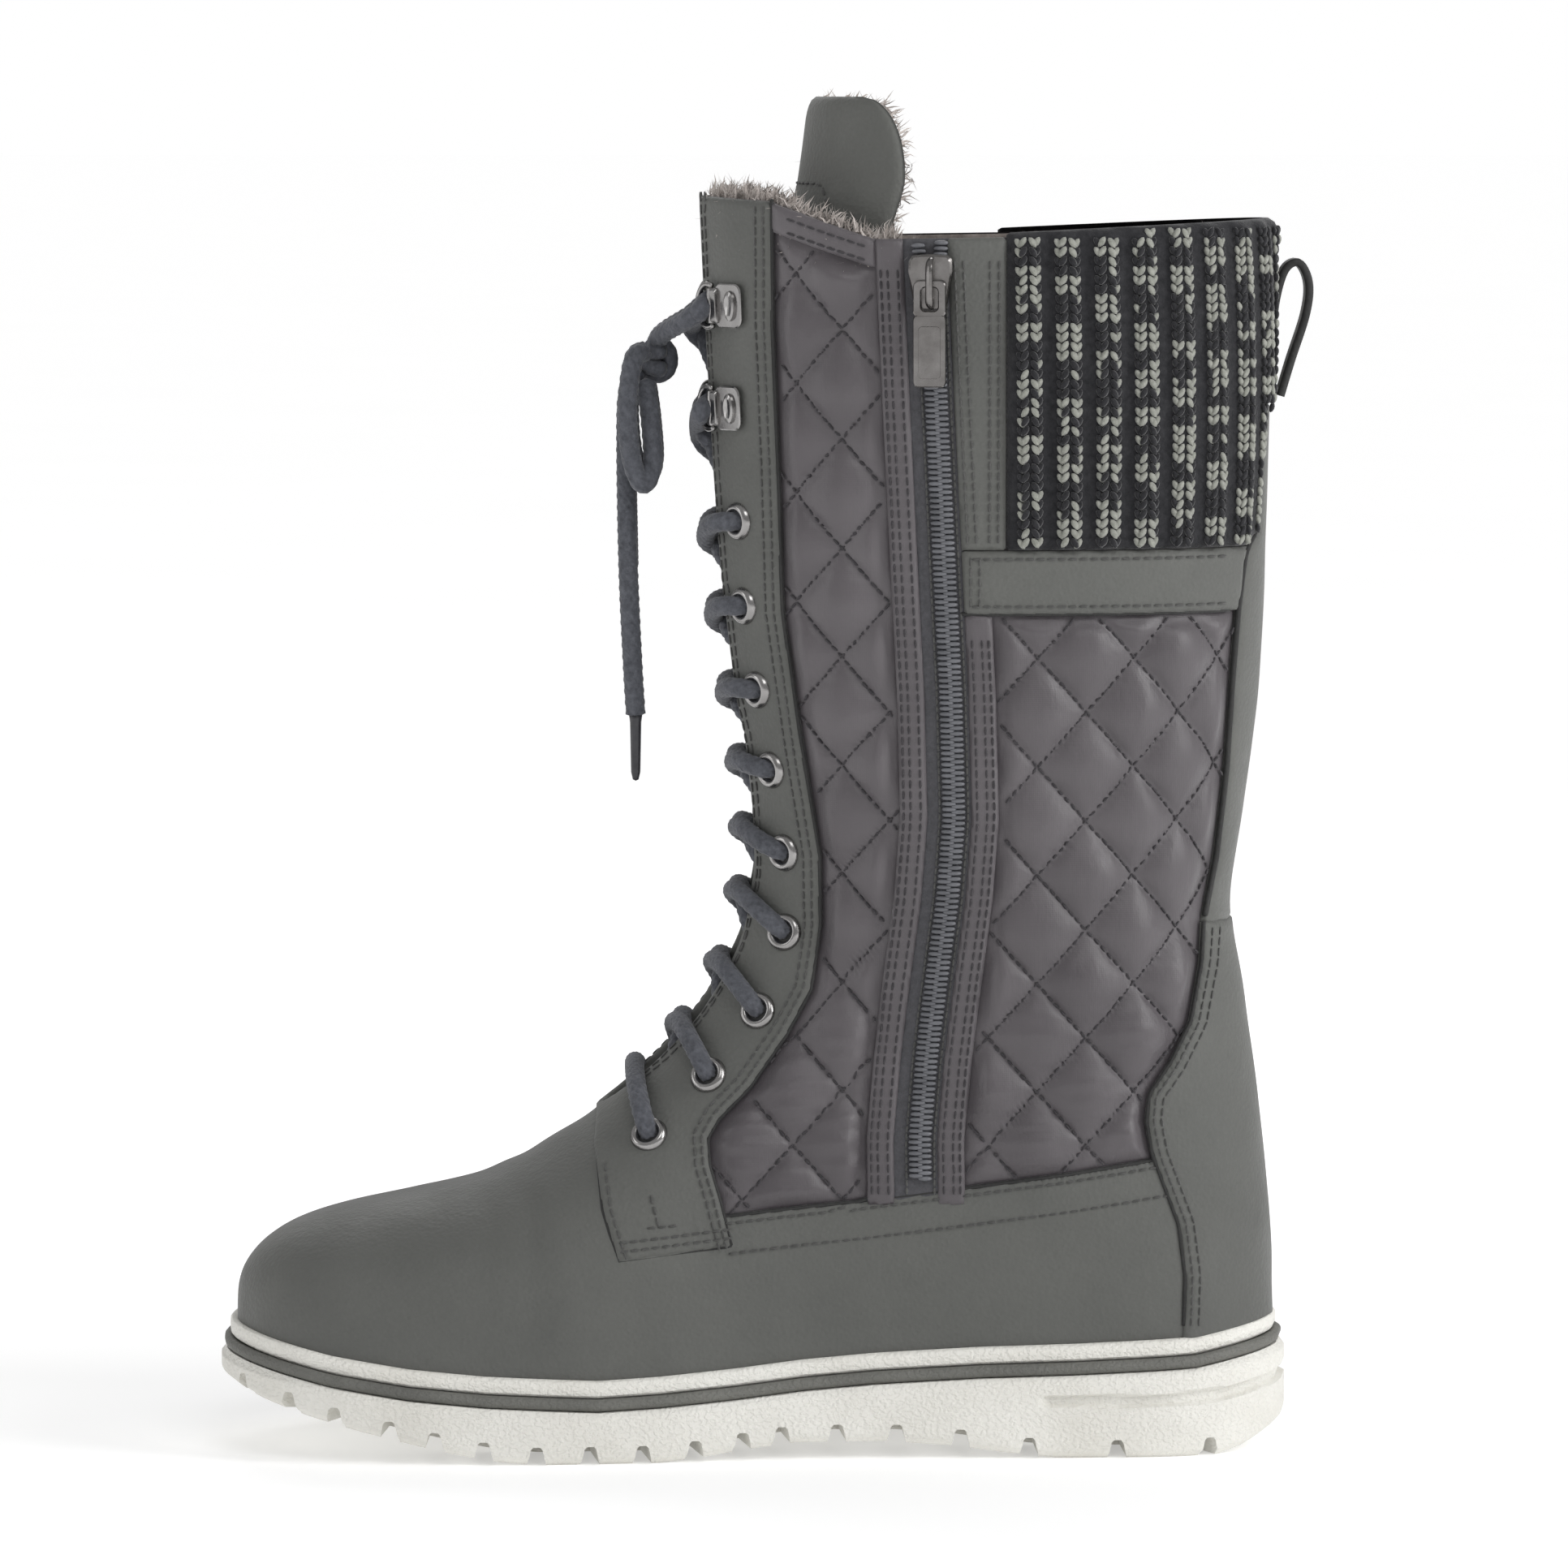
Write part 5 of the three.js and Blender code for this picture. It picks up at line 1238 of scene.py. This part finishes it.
def row(parts, line, side, lift, pitch=2.7, long=1.9, radius=0.31, tone=0):
    p = even(np.asarray(line, float), pitch / 3)
    u, v = locate(p, side)
    points = skin(u, v, np.full(len(u), lift + 0.12))
    normals = normal(u, v)
    for k in range(0, len(points) - 2, 3):
        a, b = points[k], points[k] + (points[k + 2] - points[k]) * long / pitch * 1.5
        if np.linalg.norm(b - a) < 1.6 * long:
            parts.put(*capsule(a, b, radius, 5, 0.1, 0.8, normals[k]), tone=tone)


# A near-black tube along an overlay's edge: painted shade in the crevice where the layers meet
def shade_tube(parts, line, side, lift=0.5, radius=0.62):
    u, v = locate(even(np.asarray(line, float), 1.5), side)
    parts.put(*tube(skin(u, v, np.full(len(u), lift)), radius, 6))


# folds gathers the near-black edge tubes, painted shade along the overlay edges
seams, folds = Parts(), Parts()
eyestay_back = EYESTAY[9:] + [(135.8, 326)]
tail_front = [(181.2, 78), (179.8, 65), (175.8, 52.2)]
tail_foot = [(146.6, 55.6), (175.8, 52.2)]
counter_front = [(29.3, 34), (29, 47)] + COUNTER[3:11]
quarter = [(x, float(lookup(QUARTER_TOP, x))) for x in range(34, 151, 4)]
strip_heights = np.arange(140, 272, 3.0)
zip_heights = np.arange(69, 322, 4.0)
for side in (1, -1):
    for gap in (1.5, 3.5):
        row(seams, shifted(eyestay_back, gap), side, 1.85)
        row(seams, shifted(counter_front, -gap), side, 2.05)
    row(seams, shifted(tail_front, 2.0), side, 1.85)
    row(seams, shifted(tail_foot, -2.2), side, 1.85)
    row(seams, shifted(tail_foot, -4.4), side, 1.85)
    row(seams, [(161, 61), (170, 60.2)], side, 1.85)
    row(seams, [(165.6, 61), (167.6, 69)], side, 1.85)
    row(seams, shifted(quarter, 1.8), side, 0.95)
    row(seams, shifted(quarter, 9.6), side, 0.95)
    shade_tube(folds, eyestay_back, side)
    shade_tube(folds, tail_front, side)
    shade_tube(folds, tail_foot, side)
    shade_tube(folds, counter_front, side, 0.9)
    shade_tube(folds, quarter, side, 0.1)
    edge = np.column_stack([lookup(STRIP_EDGE, strip_heights), strip_heights])
    shade_tube(folds, edge, side, 0.6, 0.9)
    front = [STRAP_FRONT, float(lookup(ZIP_LINE, 228)) - TAPE_BACK][side > 0]
    row(seams, [(20, STRAP_LOW + 2), (front - 2, STRAP_LOW + 2)], side, 2.0)
    row(seams, [(20, CUFF_LOW - 2.2), (front - 2, CUFF_LOW - 2.2)], side, 2.0)
    row(seams, [(front - 2.2, STRAP_LOW + 2), (front - 2.2, CUFF_LOW - 2)], side, 2.0)
    row(seams, [(front - 4.6, STRAP_LOW + 2), (front - 4.6, CUFF_LOW - 2)], side, 2.0)
    shade_tube(folds, [(18, STRAP_LOW), (front, STRAP_LOW)], side)
    heights = np.arange(CUFF_LOW + 2, 314, 4.0)
    strip_front = [np.full(len(heights), STRAP_FRONT), lookup(ZIP_LINE, heights) - TAPE_BACK][side > 0]
    for gap in (1.9, 4.2):
        row(seams, np.column_stack([strip_front - gap, heights]), side, 1.8)
        row(seams, np.column_stack([0 * heights + CUFF_FRONT + gap, heights]), side, 1.8)
    hem = [(x, float(lookup(COLLAR, x)) - 6.0) for x in np.arange(112 if side > 0 else 90, 134, 3.0)]
    row(seams, hem, side, 1.55, tone=1)
    row(seams, [(x, z + 3.6) for x, z in hem], side, 1.55, tone=1)
for offset in (TAPE_FRONT + 1.8, TAPE_FRONT + 4.4, TAPE_FRONT + 6.2, -TAPE_BACK - 1.8, -TAPE_BACK - 4.4,
               -TAPE_BACK - 6.2):
    heights = zip_heights[zip_heights < (312 if offset > 0 else STRAP_LOW - 3)]
    row(seams, np.column_stack([lookup(ZIP_LINE, heights) + offset, heights]), 1, 1.5, 2.8, 1.9, 0.32, tone=1)
for offset in (-3.6, 3.6):
    row(seams, np.column_stack([lookup(ZIP_LINE, zip_heights[:-5]) + offset, zip_heights[:-5]]), 1, 0.7, 2.0,
        1.5, 0.34)
u = np.linspace(9.2, 22.9, 330)
for side in (1, -1):
    for gap in (2.4, 4.8):
        v = np.full(len(u), 0.02)
        for _ in range(50):
            p = last(u, side * v)
            v = v + 0.012 * np.sign(throat(p, v) - gap) * -1 * 0.6
        points, normals = skin(u, side * v, np.full(len(u), 1.95)), normal(u, side * v)
        far = np.concatenate([[0], np.cumsum(np.linalg.norm(np.diff(points, axis=0), axis=1))])
        for s in np.arange(0, far[-1] - 3, 3.3):
            a, b = [np.array([np.interp(q, far, points[:, k]) for k in range(3)]) for q in (s, s + 2.3)]
            seams.put(*capsule(a, b, 0.36, 5, .1, .8, normals[min(np.searchsorted(far, s), len(u) - 1)]))
b_line = np.concatenate([np.full(20, -.66), np.linspace(-.66, -.5, 8), np.linspace(-.46, .46, 24),
                         np.linspace(.5, .66, 8), np.full(20, .66)])
a_line = np.concatenate([np.linspace(.86, .935, 20), np.linspace(.938, .954, 8), np.full(24, .956),
                         np.linspace(.954, .938, 8), np.linspace(.935, .86, 20)])
line = even(tongue_place(a_line, b_line, np.full(len(a_line), -.25)), 1.1)
for k in range(0, len(line) - 2, 3):
    seams.put(*capsule(line[k], line[k + 2], 0.36, 5))

# Quilting threads along the diamonds, in a darker thread: partly its own colour, partly painted shade of the
# quilt's creases
for side in (1, -1):
    spots = np.argwhere((V * side > 0.05) & (V * side < 3.0) & (U > 9.0) & (U < 23.3))
    tree = KDTree(len(spots))
    for k, (i, j) in enumerate(spots):
        tree.insert((ROUND[i, j], P[i, j, 2], 0), k)
    tree.balance()
    for lean in (1, -1):
        for n in range(-14, 16):
            zs = np.arange(60, 326, 1.85)
            ends = []
            for z in np.concatenate([zs, zs + 1.25]):
                c = ROUND_START + 25.5 * (n - lean * (z - 307) / 28.2)
                found = tree.find_n((c, z, 0), 4)
                weight = np.array([1 / (d + 0.05) ** 2 for _, _, d in found])
                at = spots[[k for _, k, _ in found]]
                ends.append((found[0][2], *(weight / weight.sum() @ np.column_stack([U[at[:, 0], at[:, 1]],
                    V[at[:, 0], at[:, 1]]]))))
            ends = np.array(ends)
            p = last(ends[:, 1], ends[:, 2])
            room = least(covered(p, ends[:, 1], ends[:, 2]), below_collar(p), throat(p, ends[:, 2]))
            fine = (ends[:, 0] < 1.5) & (room > 0.3)
            other = np.abs(np.sin(math.pi * (n - 2 * lean * (np.concatenate([zs, zs + 1.25]) - 307) / 28.2)))
            points = skin(ends[:, 1], ends[:, 2], -0.3 + 0.55 * other)
            half = len(zs)
            for k in range(half):
                if fine[k] and fine[k + half] and np.linalg.norm(points[k] - points[k + half]) < 4:
                    seams.put(*capsule(points[k], points[k + half], 0.33, 5, .1), tone=1)
seams.make("stitching", [THREAD, THREAD_QUILT_CREASE_SHADE])
folds.make("overlay_edge_painted_shade", LEATHER_EDGE_AND_SHADE)


# Camera, floor and light
scene = bpy.context.scene
camera_data = bpy.data.cameras.new("camera")
camera = bpy.data.objects.new("camera", camera_data)
scene.collection.objects.link(camera)
aim = Vector((-0.0049, -0.0016, 0.1727))
camera.location = (-0.0049, 2.3, 0.35)
camera.rotation_euler = (aim - camera.location).to_track_quat("-Z", "Y").to_euler()
camera_data.sensor_fit = "HORIZONTAL"
camera_data.angle = math.radians(10.18)
scene.camera = camera

floor_mesh = bpy.data.meshes.new("floor")
floor_mesh.from_pydata([(-60, -60, 0), (60, -60, 0), (60, 60, 0), (-60, 60, 0)], [], [[0, 1, 2, 3]])
floor = bpy.data.objects.new("floor", floor_mesh)
scene.collection.objects.link(floor)
pale = Finish("floor", 0.8, level=0.2)
pale.colour(pale.ramp(pale.noise(3, 2), [(0.3, 0.91), (0.7, 0.93)]))
pale.shader.inputs["Emission Color"].default_value = (1, 1, 1, 1)
# The floor glows, weaker within 0.8 m of the boot and least within 0.2 m: a painted shade pool around the
# boot
reach = pale.add("ShaderNodeVectorMath", operation="LENGTH")
pale.tree.links.new(pale.where, reach.inputs[0])
glow_dim_near_boot = pale.add("ShaderNodeMapRange", From_Min=0.2, From_Max=0.8, To_Min=0.3, To_Max=0.58)
pale.tree.links.new(reach.outputs["Value"], glow_dim_near_boot.inputs["Value"])
pale.tree.links.new(glow_dim_near_boot.outputs["Result"], pale.shader.inputs["Emission Strength"])
floor_mesh.materials.append(pale.material)

world = bpy.data.worlds.new("studio")
world.use_nodes = True
background = world.node_tree.nodes["Background"]
background.inputs["Color"].default_value = (1, 1, 1, 1)
background.inputs["Strength"].default_value = 0.45
backdrop = world.node_tree.nodes.new("ShaderNodeBackground")
backdrop.inputs["Color"].default_value = (1, 1, 1, 1)
choose = world.node_tree.nodes.new("ShaderNodeMixShader")
ray = world.node_tree.nodes.new("ShaderNodeLightPath")
join = world.node_tree.links.new
join(ray.outputs["Is Camera Ray"], choose.inputs["Fac"])
join(background.outputs[0], choose.inputs[1])
join(backdrop.outputs[0], choose.inputs[2])
join(choose.outputs[0], world.node_tree.nodes["World Output"].inputs["Surface"])
scene.world = world
scene.view_settings.view_transform = "Standard"


def area_light(name, place, target, size, power):
    data = bpy.data.lights.new(name, "AREA")
    data.shape, data.size, data.size_y, data.energy = "RECTANGLE", size[0], size[1], power
    light = bpy.data.objects.new(name, data)
    light.location = place
    light.rotation_euler = (Vector(target) - Vector(place)).to_track_quat("-Z", "Y").to_euler()
    scene.collection.objects.link(light)


area_light("key", (-0.4, 1.3, 1.5), (0, 0, 0.16), (0.9, 0.7), 6.5)
area_light("rim_right", (-1.2, 0.5, 0.7), (0, 0, 0.18), (0.5, 0.9), 9)
area_light("rim_left", (1.3, 0.3, 0.6), (0, 0, 0.15), (0.5, 0.8), 2)
area_light("back", (0.1, -1.2, 1.2), (0, 0, 0.2), (0.9, 0.6), 4)
